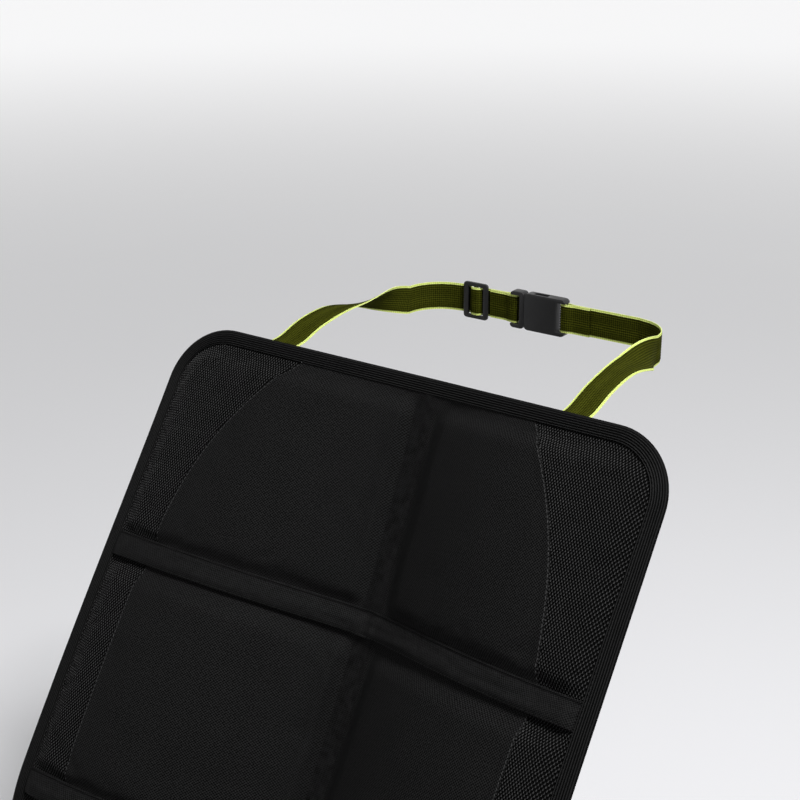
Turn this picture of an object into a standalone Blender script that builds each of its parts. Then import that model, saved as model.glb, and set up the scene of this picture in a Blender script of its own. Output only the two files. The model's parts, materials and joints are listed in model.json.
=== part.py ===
# A padded protector for a car seat, in the shape that it takes in use. The back section leans
# back and its sides come forward, a crease joins it to the seat section, which lies flat, and
# two webbing straps run from the top edge round the space that a headrest fills.
# Places on the pad are given as u, across from its middle, and s, down it from the top edge.
import math

import bmesh
import bpy
from mathutils import Vector

mm = 0.001

# The pad, measured along its cloth
PAD_WIDTH = 470 * mm
CORNER_RADIUS = 52 * mm
BACK_ROWS = 3
BACK_ROW_LENGTH = 191 * mm
SEAT_ROWS = 2
SEAT_ROW_LENGTH = 200 * mm
FLAP_LENGTH = 150 * mm
BAND_WIDTH = 21.3 * mm
CHANNEL_WIDTH = 18.3 * mm
STRIP_WIDTH = 17 * mm

# The pad's shape on a seat
LEAN = math.radians(27.4)
LEAN_AT = 200 * mm
BACK_BEND_RADIUS = 2370 * mm
CREASE_RADIUS = 60 * mm
SIDE_DEPTH_TOP = 34 * mm
SIDE_DEPTH_MOST = 78.5 * mm
SIDE_DEPTH_MOST_AT = 404 * mm
SIDE_ROUNDNESS = 2.03
VALLEY_SOFTNESS = 28 * mm
SIDE_FADE_POWER = 1.5

# The smooth centre panel, which is narrow at both ends and meets the mesh along an arc
CENTRE_HALF_END = 102 * mm
CENTRE_HALF_MIDDLE = 187.5 * mm
CENTRE_ARC_LENGTH = 271 * mm

# The layers, and the clearance between cloths that touch
BACKING_THICKNESS = 1.2 * mm
FOAM_THICKNESS = 6.0 * mm
COVER_THICKNESS = 0.8 * mm
TRIM_THICKNESS = 0.8 * mm
CROWN = 2.5 * mm
EDGE_FALL = 16 * mm
FOAM_SETBACK = 5 * mm
LAYER_GAP = 0.4 * mm
SEAM_GAP = 0.4 * mm

# The tape folded round the edge
TAPE_LAP = 12.3 * mm
TAPE_THICKNESS = 1.2 * mm
TAPE_EDGE_ROUNDING = 0.8 * mm
COVER_TUCK = 2 * mm

# The headrest straps
WEBBING_WIDTH = 26 * mm
WEBBING_THICKNESS = 1.4 * mm
STRAP_PLACE = 140 * mm
STRAP_SEWN_LENGTH = 36 * mm
STRAP_GAP = 0.6 * mm
STRAP_LEAVES_AT = 3 * mm
STRAP_LEAVING_GAP = 1.6 * mm
TACK_SIDE = 22 * mm
TACK_FROM_END = 4 * mm
TACK_THICKNESS = 0.7 * mm
HEADREST_REACH = 198 * mm
HEADREST_HALF_WIDTH = 125 * mm
STRAP_CORNER_RADIUS = 35 * mm
STRAP_DROP = 1 * mm
STRAP_RISE = 11.5 * mm
STRAP_ARCH = ((0.1, -0.05), (0.25, 0.62), (0.45, 1.0), (0.65, 0.8), (0.85, 0.47))
STRAP_INWARD_POWER = 3
STRAP_TWIST_POWER = 2.5
FOLD_BACK_LENGTH = 16 * mm
FOLD_EASE = 6 * mm

# The buckle and the slider
BUCKLE_HEIGHT = 34 * mm
BUCKLE_THICKNESS = 9 * mm
SOCKET_LENGTH = 42 * mm
SOCKET_WALL = 1.8 * mm
SOCKET_ROUNDING = 4 * mm
CAVITY_DEPTH = 30 * mm
WINDOW_LENGTH = 14 * mm
WINDOW_DEPTH = 5 * mm
WINDOW_FROM_PRONG_END = 10 * mm
PLUG_HEAD_LENGTH = 14 * mm
PLUG_ROUNDING = 3 * mm
GUIDE_LENGTH = 20.8 * mm
GUIDE_HALF_HEIGHT = 3 * mm
PRONG_LENGTH = 26 * mm
PRONG_WIDTH = 5 * mm
PRONG_HOOK = 1.6 * mm
HOOK_LENGTH = 12.3 * mm
HOOK_FROM_END = 2 * mm
HOOK_ROUNDING = 0.5 * mm
JOIN_OVERLAP = 1 * mm
CUT_OVERSHOOT = 5 * mm
BAR_WIDTH = 3.5 * mm
BAR_THICKNESS = 3 * mm
WEBBING_SLOT = 6 * mm
BUCKLE_GAP = 0.4 * mm
SLIDER_FROM_CORNER = 2 * mm
SLIDER_FROM_FOLD = 2.4 * mm
SLIDER_THICKNESS = 2.4 * mm
SLIDER_BAR = 4 * mm
SLIDER_RIM = 5 * mm
SLIDER_ROUNDING = 3 * mm
WEAVE_CLEARANCE = 0.9 * mm
WEAVE_RUN_OUT = 2 * mm

# Fineness of the curves
CORNER_STEPS = 6
LEAD_STEPS = 4
SHORTEST_STEP = 0.01 * mm

half_width = PAD_WIDTH / 2
back_length = BACK_ROWS * BACK_ROW_LENGTH + (BACK_ROWS - 1) * BAND_WIDTH
crease_middle = back_length + BAND_WIDTH / 2
pad_length = back_length + SEAT_ROWS * SEAT_ROW_LENGTH + (SEAT_ROWS + 1) * BAND_WIDTH + FLAP_LENGTH

heading_at_crease = math.pi / 2 - LEAN - (crease_middle - LEAN_AT) / BACK_BEND_RADIUS
crease_length = CREASE_RADIUS * heading_at_crease
crease_start = crease_middle - crease_length / 2
crease_end = crease_middle + crease_length / 2
seat_length = pad_length - crease_end

# Heights above the underside of the pad
cover_low = BACKING_THICKNESS + LAYER_GAP
cover_high = cover_low + FOAM_THICKNESS + LAYER_GAP
trim_low = cover_low + COVER_THICKNESS + LAYER_GAP
field_edge = TAPE_LAP + LAYER_GAP
channel_half = CHANNEL_WIDTH / 2


def smooth(x):
    x = min(max(x, 0.0), 1.0)
    return x * x * (3 - 2 * x)


def spine(s):
    """Place (y, z) of the pad's middle line at s, and its heading above the horizontal."""
    if s >= crease_end:
        return seat_length / 2 - (s - crease_end), 0.0, 0.0
    if s >= crease_start:
        heading = (crease_end - s) / CREASE_RADIUS
        y = seat_length / 2 + CREASE_RADIUS * math.sin(heading)
        return y, CREASE_RADIUS * (1 - math.cos(heading)), heading
    heading = heading_at_crease + (crease_start - s) / BACK_BEND_RADIUS
    y = seat_length / 2 + CREASE_RADIUS * math.sin(heading_at_crease)
    z = CREASE_RADIUS * (1 - math.cos(heading_at_crease))
    y += BACK_BEND_RADIUS * (math.sin(heading) - math.sin(heading_at_crease))
    z += BACK_BEND_RADIUS * (math.cos(heading_at_crease) - math.cos(heading))
    return y, z, heading


def side_depth(s):
    """How far the pad's side edges come forward of its middle."""
    if s < SIDE_DEPTH_MOST_AT:
        share = math.sin(math.pi / 2 * s / SIDE_DEPTH_MOST_AT)
        return SIDE_DEPTH_TOP + (SIDE_DEPTH_MOST - SIDE_DEPTH_TOP) * share
    share = min((s - SIDE_DEPTH_MOST_AT) / (crease_middle - SIDE_DEPTH_MOST_AT), 1.0)
    return SIDE_DEPTH_MOST * max(math.cos(math.pi / 2 * share), 0.0) ** SIDE_FADE_POWER


def across(u):
    """Share of the side depth reached at u: 0 in the middle, 1 at the edge."""
    soft = VALLEY_SOFTNESS / half_width
    reach = math.hypot(1, soft) - soft
    share = (math.hypot(u / half_width, soft) - soft) / reach
    return 1 - max(1 - share, 0.0) ** SIDE_ROUNDNESS


def underside(u, s):
    y, z, heading = spine(s)
    lift = side_depth(s) * across(u)
    return Vector((u, y - lift * math.sin(heading), z + lift * math.cos(heading)))


def pad_point(u, s, height):
    """The point at a height above the pad's underside, square to it."""
    step = 0.5 * mm
    down = underside(u, s + step) - underside(u, s - step)
    side = underside(u + step, s) - underside(u - step, s)
    return underside(u, s) + down.cross(side).normalized() * height


def edge_at(s, inset):
    """u of the line that runs at an inset from the pad's outline."""
    end = min(s, pad_length - s)
    straight = half_width - CORNER_RADIUS
    if end >= CORNER_RADIUS:
        return half_width - inset
    if end < inset:
        return straight - (inset - end)
    return straight + math.sqrt((CORNER_RADIUS - inset) ** 2 - (CORNER_RADIUS - end) ** 2)


def inset_of(u, s):
    """Distance from a point of the pad to its outline."""
    end = min(s, pad_length - s)
    straight = half_width - CORNER_RADIUS
    if end < CORNER_RADIUS and abs(u) > straight:
        return CORNER_RADIUS - math.hypot(abs(u) - straight, CORNER_RADIUS - end)
    return min(half_width - abs(u), end)


def seam_at(s):
    """u of the arced seam between the centre panel and the mesh."""
    end = min(s, pad_length - s)
    share = max(1 - end / CENTRE_ARC_LENGTH, 0.0) ** 3
    return CENTRE_HALF_MIDDLE - (CENTRE_HALF_MIDDLE - CENTRE_HALF_END) * share


def pad_rows():
    """Start and end of each row of fields, with its name."""
    names = ["back_upper", "back_middle", "back_lower", "seat_rear", "seat_front", "front_flap"]
    lengths = [BACK_ROW_LENGTH] * BACK_ROWS + [SEAT_ROW_LENGTH] * SEAT_ROWS + [FLAP_LENGTH]
    rows = []
    start = 0.0
    for name, length in zip(names, lengths):
        rows.append((name, start, start + length))
        start += length + BAND_WIDTH
    rows[0] = (rows[0][0], field_edge, rows[0][2])
    rows[-1] = (rows[-1][0], rows[-1][1], pad_length - field_edge)
    return rows


rows = pad_rows()
bands = [(upper[2], lower[1]) for upper, lower in zip(rows, rows[1:])]


def row_lines(start, end):
    """The s of each line of vertices across one row, closest together where it falls."""
    inner = end - start - 2 * EDGE_FALL
    lines = [start, start + FOAM_SETBACK, start + EDGE_FALL]
    lines += [start + EDGE_FALL + inner * step / 3 for step in (1, 2)]
    return lines + [end - EDGE_FALL, end - FOAM_SETBACK, end]


def end_lines():
    """Extra lines at the top end, which follow the rounded corners."""
    step = (CORNER_RADIUS - field_edge - EDGE_FALL) / 2
    return [COVER_TUCK, 2 * COVER_TUCK, 4 * COVER_TUCK, CORNER_RADIUS - step, CORNER_RADIUS]


def all_lines():
    lines = set()
    for row in rows:
        lines.update(row_lines(row[1], row[2]))
    for line in end_lines():
        lines.update([line, pad_length - line])
    lines.add(crease_middle)
    return sorted(lines)


lines = all_lines()


def lines_between(start, end):
    inner = [s for s in lines if start + 1 * mm < s < end - 1 * mm]
    return [start] + inner + [end]


def columns(s):
    """The u of each column of vertices on one side, and what each one follows."""
    inner = channel_half + EDGE_FALL
    seam = seam_at(s)
    places = {"middle": 0.0, "channel": channel_half, "setback": channel_half + FOAM_SETBACK}
    places["plateau"] = inner
    places["first"] = inner + (seam - inner) / 3
    places["second"] = inner + (seam - inner) * 2 / 3
    places["seam"] = seam
    places["outer_plateau"] = edge_at(s, field_edge + EDGE_FALL)
    places["outer_setback"] = edge_at(s, field_edge + FOAM_SETBACK)
    places["tape"] = edge_at(s, field_edge)
    places["edge"] = edge_at(s, COVER_TUCK)
    return places


def fall(distance):
    return math.sin(math.pi / 2 * min(max(distance / EDGE_FALL, 0.0), 1.0))


def cover_height(u, s):
    """Height of the cover's inner face, which dips along the channel, the bands and the tape."""
    for row in rows:
        start, end = row[1:]
        if start < s < end:
            from_ends = min(s - start, end - s)
            from_sides = min(abs(u) - channel_half, inset_of(u, s) - field_edge)
            if from_sides <= 0:
                return cover_low
            along = math.sin(math.pi * (s - start) / (end - start))
            width = half_width - field_edge - channel_half
            beside = math.sin(math.pi * min((abs(u) - channel_half) / width, 1.0))
            rise = cover_high - cover_low + CROWN * along * beside
            return cover_low + rise * fall(from_ends) * fall(from_sides)
    return cover_low


def cloth(name, row_places, column_places, low, high, look, place=pad_point):
    """A closed layer of cloth between two heights. Each cell splits on the same diagonal."""
    mesh_maker = bmesh.new()
    grids = []
    for height in (low, high):
        grid = []
        for s in row_places:
            points = [place(u, s, height(u, s)) for u in column_places(s)]
            grid.append([mesh_maker.verts.new(point) for point in points])
        grids.append(grid)
    bottom, top = grids
    last_row = len(top) - 1
    last_column = len(top[0]) - 1

    def quad(a, b, c, d):
        mesh_maker.faces.new((a, b, c))
        mesh_maker.faces.new((a, c, d))

    for i in range(last_row):
        for j in range(last_column):
            quad(top[i][j], top[i + 1][j], top[i + 1][j + 1], top[i][j + 1])
            quad(bottom[i + 1][j + 1], bottom[i + 1][j], bottom[i][j], bottom[i][j + 1])
    for i in range(last_row):
        quad(bottom[i][0], bottom[i + 1][0], top[i + 1][0], top[i][0])
        quad(top[i][-1], top[i + 1][-1], bottom[i + 1][-1], bottom[i][-1])
    for j in range(last_column):
        quad(top[0][j], top[0][j + 1], bottom[0][j + 1], bottom[0][j])
        quad(bottom[-1][j], bottom[-1][j + 1], top[-1][j + 1], top[-1][j])
    bmesh.ops.recalc_face_normals(mesh_maker, faces=mesh_maker.faces)
    return finish(name, mesh_maker, look)


def finish(name, mesh_maker, look):
    mesh = bpy.data.meshes.new(name)
    mesh_maker.to_mesh(mesh)
    mesh_maker.free()
    piece = bpy.data.objects.new(name, mesh)
    bpy.context.scene.collection.objects.link(piece)
    mesh.materials.append(look)
    return piece


def material(name, colour, roughness):
    made = bpy.data.materials.new(name)
    made.use_nodes = True
    shader = made.node_tree.nodes["Principled BSDF"]
    shader.inputs["Base Color"].default_value = (*colour, 1.0)
    shader.inputs["Roughness"].default_value = roughness
    shader.inputs["Metallic"].default_value = 0.0
    return made


def level(height):
    return lambda u, s: height


def both_sides(names, outermost=None):
    """Columns for a layer that spans the middle, mirrored from the named ones of one side."""

    def places(s):
        found = columns(s)
        right = [found[name] for name in names]
        if outermost:
            right[-1] = outermost(s)
        left = [-u for u in reversed(right)]
        return left + right[1:] if right[0] == 0.0 else left + right

    return places


def one_side(names, side, first=None):
    def places(s):
        found = columns(s)
        line = [found[name] for name in names]
        if first:
            line[0] = first(s)
        return line if side > 0 else [-u for u in reversed(line)]

    return places


to_seam = ["middle", "channel", "setback", "plateau", "first", "second", "seam"]
to_tape = to_seam + ["outer_plateau", "outer_setback", "tape"]


def make_backing(look):
    inset = TAPE_LAP + LAYER_GAP
    start = inset
    end = pad_length - inset
    back = [s for s in lines_between(start, end) if s < crease_end + EDGE_FALL]
    front = [s for s in lines_between(start, end) if s > pad_length - CORNER_RADIUS - 1 * mm]
    places = back + front
    cloth("backing", places, both_sides(to_tape), level(0.0), level(BACKING_THICKNESS), look)


def make_foam(look):
    names = ["setback", "plateau", "first", "second", "seam", "outer_plateau", "outer_setback"]

    def top(u, s):
        return cover_height(u, s) - LAYER_GAP

    for name, start, end in rows:
        places = lines_between(start + FOAM_SETBACK, end - FOAM_SETBACK)
        for side, side_name in ((-1, "left"), (1, "right")):
            piece = "foam_" + name + "_" + side_name
            cloth(piece, places, one_side(names, side), level(cover_low), top, look)


def cover_top(u, s):
    return cover_height(u, s) + COVER_THICKNESS


def make_centre_cover(look):
    places = lines_between(COVER_TUCK, pad_length - COVER_TUCK)
    spread = both_sides(to_seam, lambda s: seam_at(s) - SEAM_GAP / 2)
    cloth("centre_cover", places, spread, cover_height, cover_top, look)


def make_side_mesh(look):
    places = lines_between(COVER_TUCK, pad_length - COVER_TUCK)
    names = ["seam", "outer_plateau", "outer_setback", "tape", "edge"]
    for side, side_name in ((-1, "left"), (1, "right")):
        spread = one_side(names, side, lambda s: seam_at(s) + SEAM_GAP / 2)
        cloth("side_mesh_" + side_name, places, spread, cover_height, cover_top, look)


def make_centre_strip(look):
    start = field_edge + LAYER_GAP
    places = lines_between(start, pad_length - start)

    def spread(s):
        return [-STRIP_WIDTH / 2, 0.0, STRIP_WIDTH / 2]

    high = trim_low + TRIM_THICKNESS
    cloth("centre_strip", places, spread, level(trim_low), level(high), look)


def make_fold_bands(look):
    names = ["fold_band_upper", "fold_band_lower", "crease_band", "seat_band", "front_band"]

    def low(u, s):
        over_strip = abs(u) < channel_half + 1 * mm
        return trim_low + (TRIM_THICKNESS + LAYER_GAP if over_strip else 0.0)

    def high(u, s):
        return low(u, s) + TRIM_THICKNESS

    spread = both_sides(to_tape, lambda s: edge_at(s, field_edge + LAYER_GAP))
    for name, (start, end) in zip(names, bands):
        cloth(name, lines_between(start, end), spread, low, high, look)


def corner_places(side, end, first_angle):
    """Points round one corner. Angles turn from the top edge's middle towards the right."""
    centre_u = side * (half_width - CORNER_RADIUS)
    centre_s = CORNER_RADIUS if end == "top" else pad_length - CORNER_RADIUS
    places = []
    for step in range(CORNER_STEPS + 1):
        angle = first_angle + math.pi / 2 * step / CORNER_STEPS
        outward_u = math.sin(angle)
        outward_s = -math.cos(angle)
        u = centre_u + CORNER_RADIUS * outward_u
        s = centre_s + CORNER_RADIUS * outward_s
        places.append((u, s, -outward_u, -outward_s))
    return places


def outline_places():
    """Points round the pad's outline: a place on it, and the direction inwards from there."""
    side = [s for s in lines if CORNER_RADIUS < s < crease_end + EDGE_FALL]
    across_top = both_sides(to_seam + ["outer_plateau"])(field_edge / 2)
    places = corner_places(1, "top", 0.0)
    places += [(half_width, s, -1, 0) for s in side]
    places += corner_places(1, "front", math.pi / 2)
    places += [(-u, pad_length, 0, -1) for u in across_top]
    places += corner_places(-1, "front", math.pi)
    places += [(-half_width, s, 1, 0) for s in reversed(side)]
    places += corner_places(-1, "top", 3 * math.pi / 2)
    places += [(u, 0.0, 0, 1) for u in across_top]
    return places


def make_edge_binding(look):
    """The tape: a U in section, swept round the outline, open towards the pad's middle."""
    top = trim_low + TAPE_THICKNESS
    r = TAPE_EDGE_ROUNDING
    section = [(TAPE_LAP, 0), (r, 0), (0, r), (0, top - r), (r, top), (TAPE_LAP, top)]
    section += [(TAPE_LAP, trim_low), (TAPE_THICKNESS, trim_low)]
    section += [(TAPE_THICKNESS, TAPE_THICKNESS), (TAPE_LAP, TAPE_THICKNESS)]
    mesh_maker = bmesh.new()
    rings = []
    for u, s, inward_u, inward_s in outline_places():
        ring = []
        for inset, height in section:
            point = pad_point(u + inward_u * inset, s + inward_s * inset, height)
            ring.append(mesh_maker.verts.new(point))
        rings.append(ring)
    for ring, following in zip(rings, rings[1:] + rings[:1]):
        count = len(section)
        for k in range(count):
            a = ring[k]
            b = ring[(k + 1) % count]
            c = following[(k + 1) % count]
            d = following[k]
            mesh_maker.faces.new((a, b, c))
            mesh_maker.faces.new((a, c, d))
    bmesh.ops.recalc_face_normals(mesh_maker, faces=mesh_maker.faces)
    return finish("edge_binding", mesh_maker, look)


def through(points, steps):
    """A smooth curve through points, as a list of places."""
    ends = [2 * points[0] - points[1]] + points + [2 * points[-1] - points[-2]]
    curve = []
    for a, b, c, d in zip(ends, ends[1:], ends[2:], ends[3:]):
        for step in range(steps):
            t = step / steps
            pull = (c - a) * t + (2 * a - 5 * b + 4 * c - d) * t**2
            curve.append(b + (pull + (3 * b - a - 3 * c + d) * t**3) / 2)
    return curve + [points[-1]]


top_edge = underside(STRAP_PLACE, 0.0)
rear_line = top_edge.y + HEADREST_REACH
strap_level = top_edge.z - STRAP_DROP


def beneath(u, s, height):
    """A point under the backing, which is straight from one column of vertices to the next."""
    places = sorted(columns(s).values())
    outer = next(place for place in places if place > abs(u))
    inner = places[places.index(outer) - 1]
    side = math.copysign(1, u)
    share = (abs(u) - inner) / (outer - inner)
    return pad_point(side * inner, s, height).lerp(pad_point(side * outer, s, height), share)


strap_slope = beneath(STRAP_PLACE + 1 * mm, STRAP_SEWN_LENGTH / 2, 0)
strap_slope -= beneath(STRAP_PLACE, STRAP_SEWN_LENGTH / 2, 0)


def strap_lead():
    """The right strap's run from its sewn end to the straight run behind the headrest."""
    behind = -STRAP_GAP - WEBBING_THICKNESS / 2
    points = [beneath(STRAP_PLACE, STRAP_SEWN_LENGTH / part, behind) for part in (1, 2, 4)]
    points.append(beneath(STRAP_PLACE, STRAP_LEAVES_AT, behind - STRAP_LEAVING_GAP))
    reach = HEADREST_REACH - STRAP_CORNER_RADIUS
    for share, height in STRAP_ARCH:
        x = STRAP_PLACE + (HEADREST_HALF_WIDTH - STRAP_PLACE) * share**STRAP_INWARD_POWER
        points.append(Vector((x, top_edge.y + reach * share, strap_level + STRAP_RISE * height)))
    corner = Vector((HEADREST_HALF_WIDTH, top_edge.y + reach, strap_level))
    curve = through(points + [corner], LEAD_STEPS)
    bend = STRAP_CORNER_RADIUS
    centre = corner - Vector((bend, 0, 0))
    for step in range(1, CORNER_STEPS + 1):
        angle = math.pi / 2 * step / CORNER_STEPS
        curve.append(centre + Vector((bend * math.cos(angle), bend * math.sin(angle), 0)))
    return curve


def ribbon(name, centre_line, side, look):
    """Webbing along a line. It lies flat where it leaves the pad and stands on edge behind."""
    points = []
    for point in centre_line:
        if not points or (point - points[-1]).length > SHORTEST_STEP:
            points.append(point)
    flat = Vector((side * strap_slope.x, strap_slope.y, strap_slope.z)).normalized()
    reach = HEADREST_REACH - STRAP_CORNER_RADIUS
    mesh_maker = bmesh.new()
    rings = []
    for k, point in enumerate(points):
        before = points[max(k - 1, 0)]
        after = points[min(k + 1, len(points) - 1)]
        along = (after - before).normalized()
        gone = max(point.y - top_edge.y, 0.0) / reach
        turn = math.pi / 2 * smooth(gone**STRAP_TWIST_POWER)
        wide = flat * math.cos(turn) - Vector((0, 0, math.sin(turn)))
        wide = (wide - along * wide.dot(along)).normalized() * WEBBING_WIDTH / 2
        thick = along.cross(wide).normalized() * WEBBING_THICKNESS / 2
        corners = (wide + thick, -wide + thick, -wide - thick, wide - thick)
        rings.append([mesh_maker.verts.new(point + corner) for corner in corners])
    for ring, following in zip(rings, rings[1:]):
        for k in range(4):
            mesh_maker.faces.new((ring[k], ring[(k + 1) % 4], following[(k + 1) % 4]))
            mesh_maker.faces.new((ring[k], following[(k + 1) % 4], following[k]))
    mesh_maker.faces.new(rings[0])
    mesh_maker.faces.new(rings[-1])
    bmesh.ops.recalc_face_normals(mesh_maker, faces=mesh_maker.faces)
    return finish(name, mesh_maker, look)


def past_bar(bar_x):
    return bar_x + BAR_WIDTH / 2 + BUCKLE_GAP + WEBBING_THICKNESS / 2


def bar_loop(bar_x, mirror, fold_end):
    """The strap's end: along to the bar, round it, and back to lie on itself."""
    round_bar = BAR_THICKNESS / 2 + BUCKLE_GAP + WEBBING_THICKNESS / 2
    past = past_bar(bar_x)
    eased = past + FOLD_EASE
    outer = [(eased, layer_offset), (past, round_bar), (bar_x, round_bar)]
    corner = bar_x - BAR_WIDTH / 2
    for step in range(CORNER_STEPS + 1):
        angle = math.pi * step / CORNER_STEPS
        outer.append((corner - round_bar * math.sin(angle), round_bar * math.cos(angle)))
    outer += [(bar_x, -round_bar), (past, -round_bar), (eased, -layer_offset)]
    outer.append((fold_end, -layer_offset))
    return [Vector((mirror * x, rear_line + y, strap_level)) for x, y in outer]


socket_bar_x = SOCKET_LENGTH / 2 - BAR_WIDTH / 2
plug_bar_x = SOCKET_LENGTH / 2 + BUCKLE_GAP + PLUG_HEAD_LENGTH - BAR_WIDTH / 2
layer_offset = (WEBBING_THICKNESS + LAYER_GAP) / 2
strap_off_slider = SLIDER_THICKNESS / 2 + BUCKLE_GAP + WEBBING_THICKNESS / 2
slider_plane = rear_line + layer_offset - strap_off_slider
slot_far = SLIDER_BAR / 2 + WEBBING_SLOT - WEAVE_CLEARANCE
weave_reach = slot_far + SLIDER_RIM + WEAVE_RUN_OUT
slider_place = HEADREST_HALF_WIDTH - STRAP_CORNER_RADIUS - weave_reach - SLIDER_FROM_CORNER
slider_reach = SLIDER_BAR / 2 + WEBBING_SLOT + SLIDER_RIM
right_fold_end = past_bar(socket_bar_x) + FOLD_EASE + FOLD_BACK_LENGTH
left_fold_end = slider_place - slider_reach - SLIDER_FROM_FOLD


def make_right_strap(look):
    line = strap_lead()
    line[-1].y += layer_offset
    line += bar_loop(socket_bar_x, 1, right_fold_end)
    return ribbon("strap_right", line, 1, look)


def slider_weave():
    """The left strap's way through the slider: in front of its middle bar, behind its rims."""
    near = SLIDER_BAR / 2 + WEAVE_CLEARANCE
    far = slot_far
    end = weave_reach
    off = strap_off_slider
    steps = [(end, off), (far, off), (near, -off), (-near, -off), (-far, off), (-end, off)]
    return [Vector((-slider_place - x, slider_plane + y, strap_level)) for x, y in steps]


def make_left_strap(look):
    line = [Vector((-p.x, p.y, p.z)) for p in strap_lead()]
    line[-1].y += layer_offset
    line += slider_weave() + bar_loop(plug_bar_x, -1, left_fold_end)
    return ribbon("strap_left", line, -1, look)


def make_strap_tacks(look):
    strap_rear = -STRAP_GAP - WEBBING_THICKNESS
    low = level(strap_rear - LAYER_GAP - TACK_THICKNESS)
    high = level(strap_rear - LAYER_GAP)
    middle = STRAP_SEWN_LENGTH - TACK_FROM_END - TACK_SIDE / 2
    places = [middle - TACK_SIDE / 2, middle, middle + TACK_SIDE / 2]
    for side, side_name in ((-1, "left"), (1, "right")):
        spread = [side * STRAP_PLACE + TACK_SIDE * share for share in (-0.5, 0.0, 0.5)]

        def columns_here(s, spread=spread):
            return spread

        cloth("strap_tack_" + side_name, places, columns_here, low, high, look, beneath)


def box(low, high):
    """A closed box between two corners, as a mesh maker."""
    mesh_maker = bmesh.new()
    bmesh.ops.create_cube(mesh_maker, size=1.0)
    for vertex in mesh_maker.verts:
        for axis in range(3):
            middle = (low[axis] + high[axis]) / 2
            vertex.co[axis] = middle + vertex.co[axis] * (high[axis] - low[axis])
    return mesh_maker


def soften(mesh_maker, width, along):
    """Rounds the edges of a box that run along one axis."""
    edges = []
    for edge in mesh_maker.edges:
        run = edge.verts[0].co - edge.verts[1].co
        if abs(run[along]) > 0.9 * run.length:
            edges.append(edge)
    bmesh.ops.bevel(mesh_maker, geom=edges, offset=width, segments=3, affect="EDGES", profile=0.5)
    return mesh_maker


def cut(piece, *cutters):
    for cutter in cutters:
        cutter.hide_render = True
        cutter.display_type = "WIRE"
        change = piece.modifiers.new("cut " + cutter.name, "BOOLEAN")
        change.operation = "DIFFERENCE"
        change.solver = "EXACT"
        change.object = cutter


def add(piece, *others):
    for other in others:
        other.hide_render = True
        other.display_type = "WIRE"
        change = piece.modifiers.new("add " + other.name, "BOOLEAN")
        change.operation = "UNION"
        change.solver = "EXACT"
        change.object = other


def hardware_box(name, x_range, y_half, z_half, look, rounding=0.0):
    """A box centred on the strap's line behind the headrest."""
    low = (x_range[0], rear_line - y_half, strap_level - z_half)
    high = (x_range[1], rear_line + y_half, strap_level + z_half)
    mesh_maker = box(low, high)
    if rounding:
        soften(mesh_maker, rounding, 1)
    return finish(name, mesh_maker, look)


def make_socket(look):
    """The buckle's socket: a shell open to the left, with a slot and bar for the strap."""
    right = SOCKET_LENGTH / 2
    left = -right
    half = BUCKLE_HEIGHT / 2
    thick = BUCKLE_THICKNESS / 2
    body = hardware_box("buckle_socket", (left, right), thick, half, look, SOCKET_ROUNDING)
    inner_y = thick - SOCKET_WALL
    inner_z = half - SOCKET_WALL
    cavity_end = left + CAVITY_DEPTH
    cavity = hardware_box("cavity", (left - CUT_OVERSHOOT, cavity_end), inner_y, inner_z, look)
    slot_z = WEBBING_WIDTH / 2 + BUCKLE_GAP
    slot_right = right - BAR_WIDTH
    slot_left = slot_right - WEBBING_SLOT
    slot = hardware_box("slot", (slot_left, slot_right), BUCKLE_THICKNESS, slot_z, look)
    cutters = [cavity, slot]
    window_middle = left + PRONG_LENGTH - WINDOW_FROM_PRONG_END
    window_left = window_middle - WINDOW_LENGTH / 2
    window_right = window_middle + WINDOW_LENGTH / 2
    for side, side_name in ((-1, "low"), (1, "high")):
        edge = strap_level + side * half
        low = (window_left, rear_line - inner_y, edge - WINDOW_DEPTH)
        high = (window_right, rear_line + inner_y, edge + WINDOW_DEPTH)
        cutters.append(finish("window_" + side_name, box(low, high), look))
        near, far = sorted((side * BAR_THICKNESS / 2, side * (thick + CUT_OVERSHOOT)))
        low = (slot_right - JOIN_OVERLAP, rear_line + near, strap_level - slot_z)
        high = (right + CUT_OVERSHOOT, rear_line + far, strap_level + slot_z)
        cutters.append(finish("thinning_" + side_name, box(low, high), look))
    cut(body, *cutters)


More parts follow.
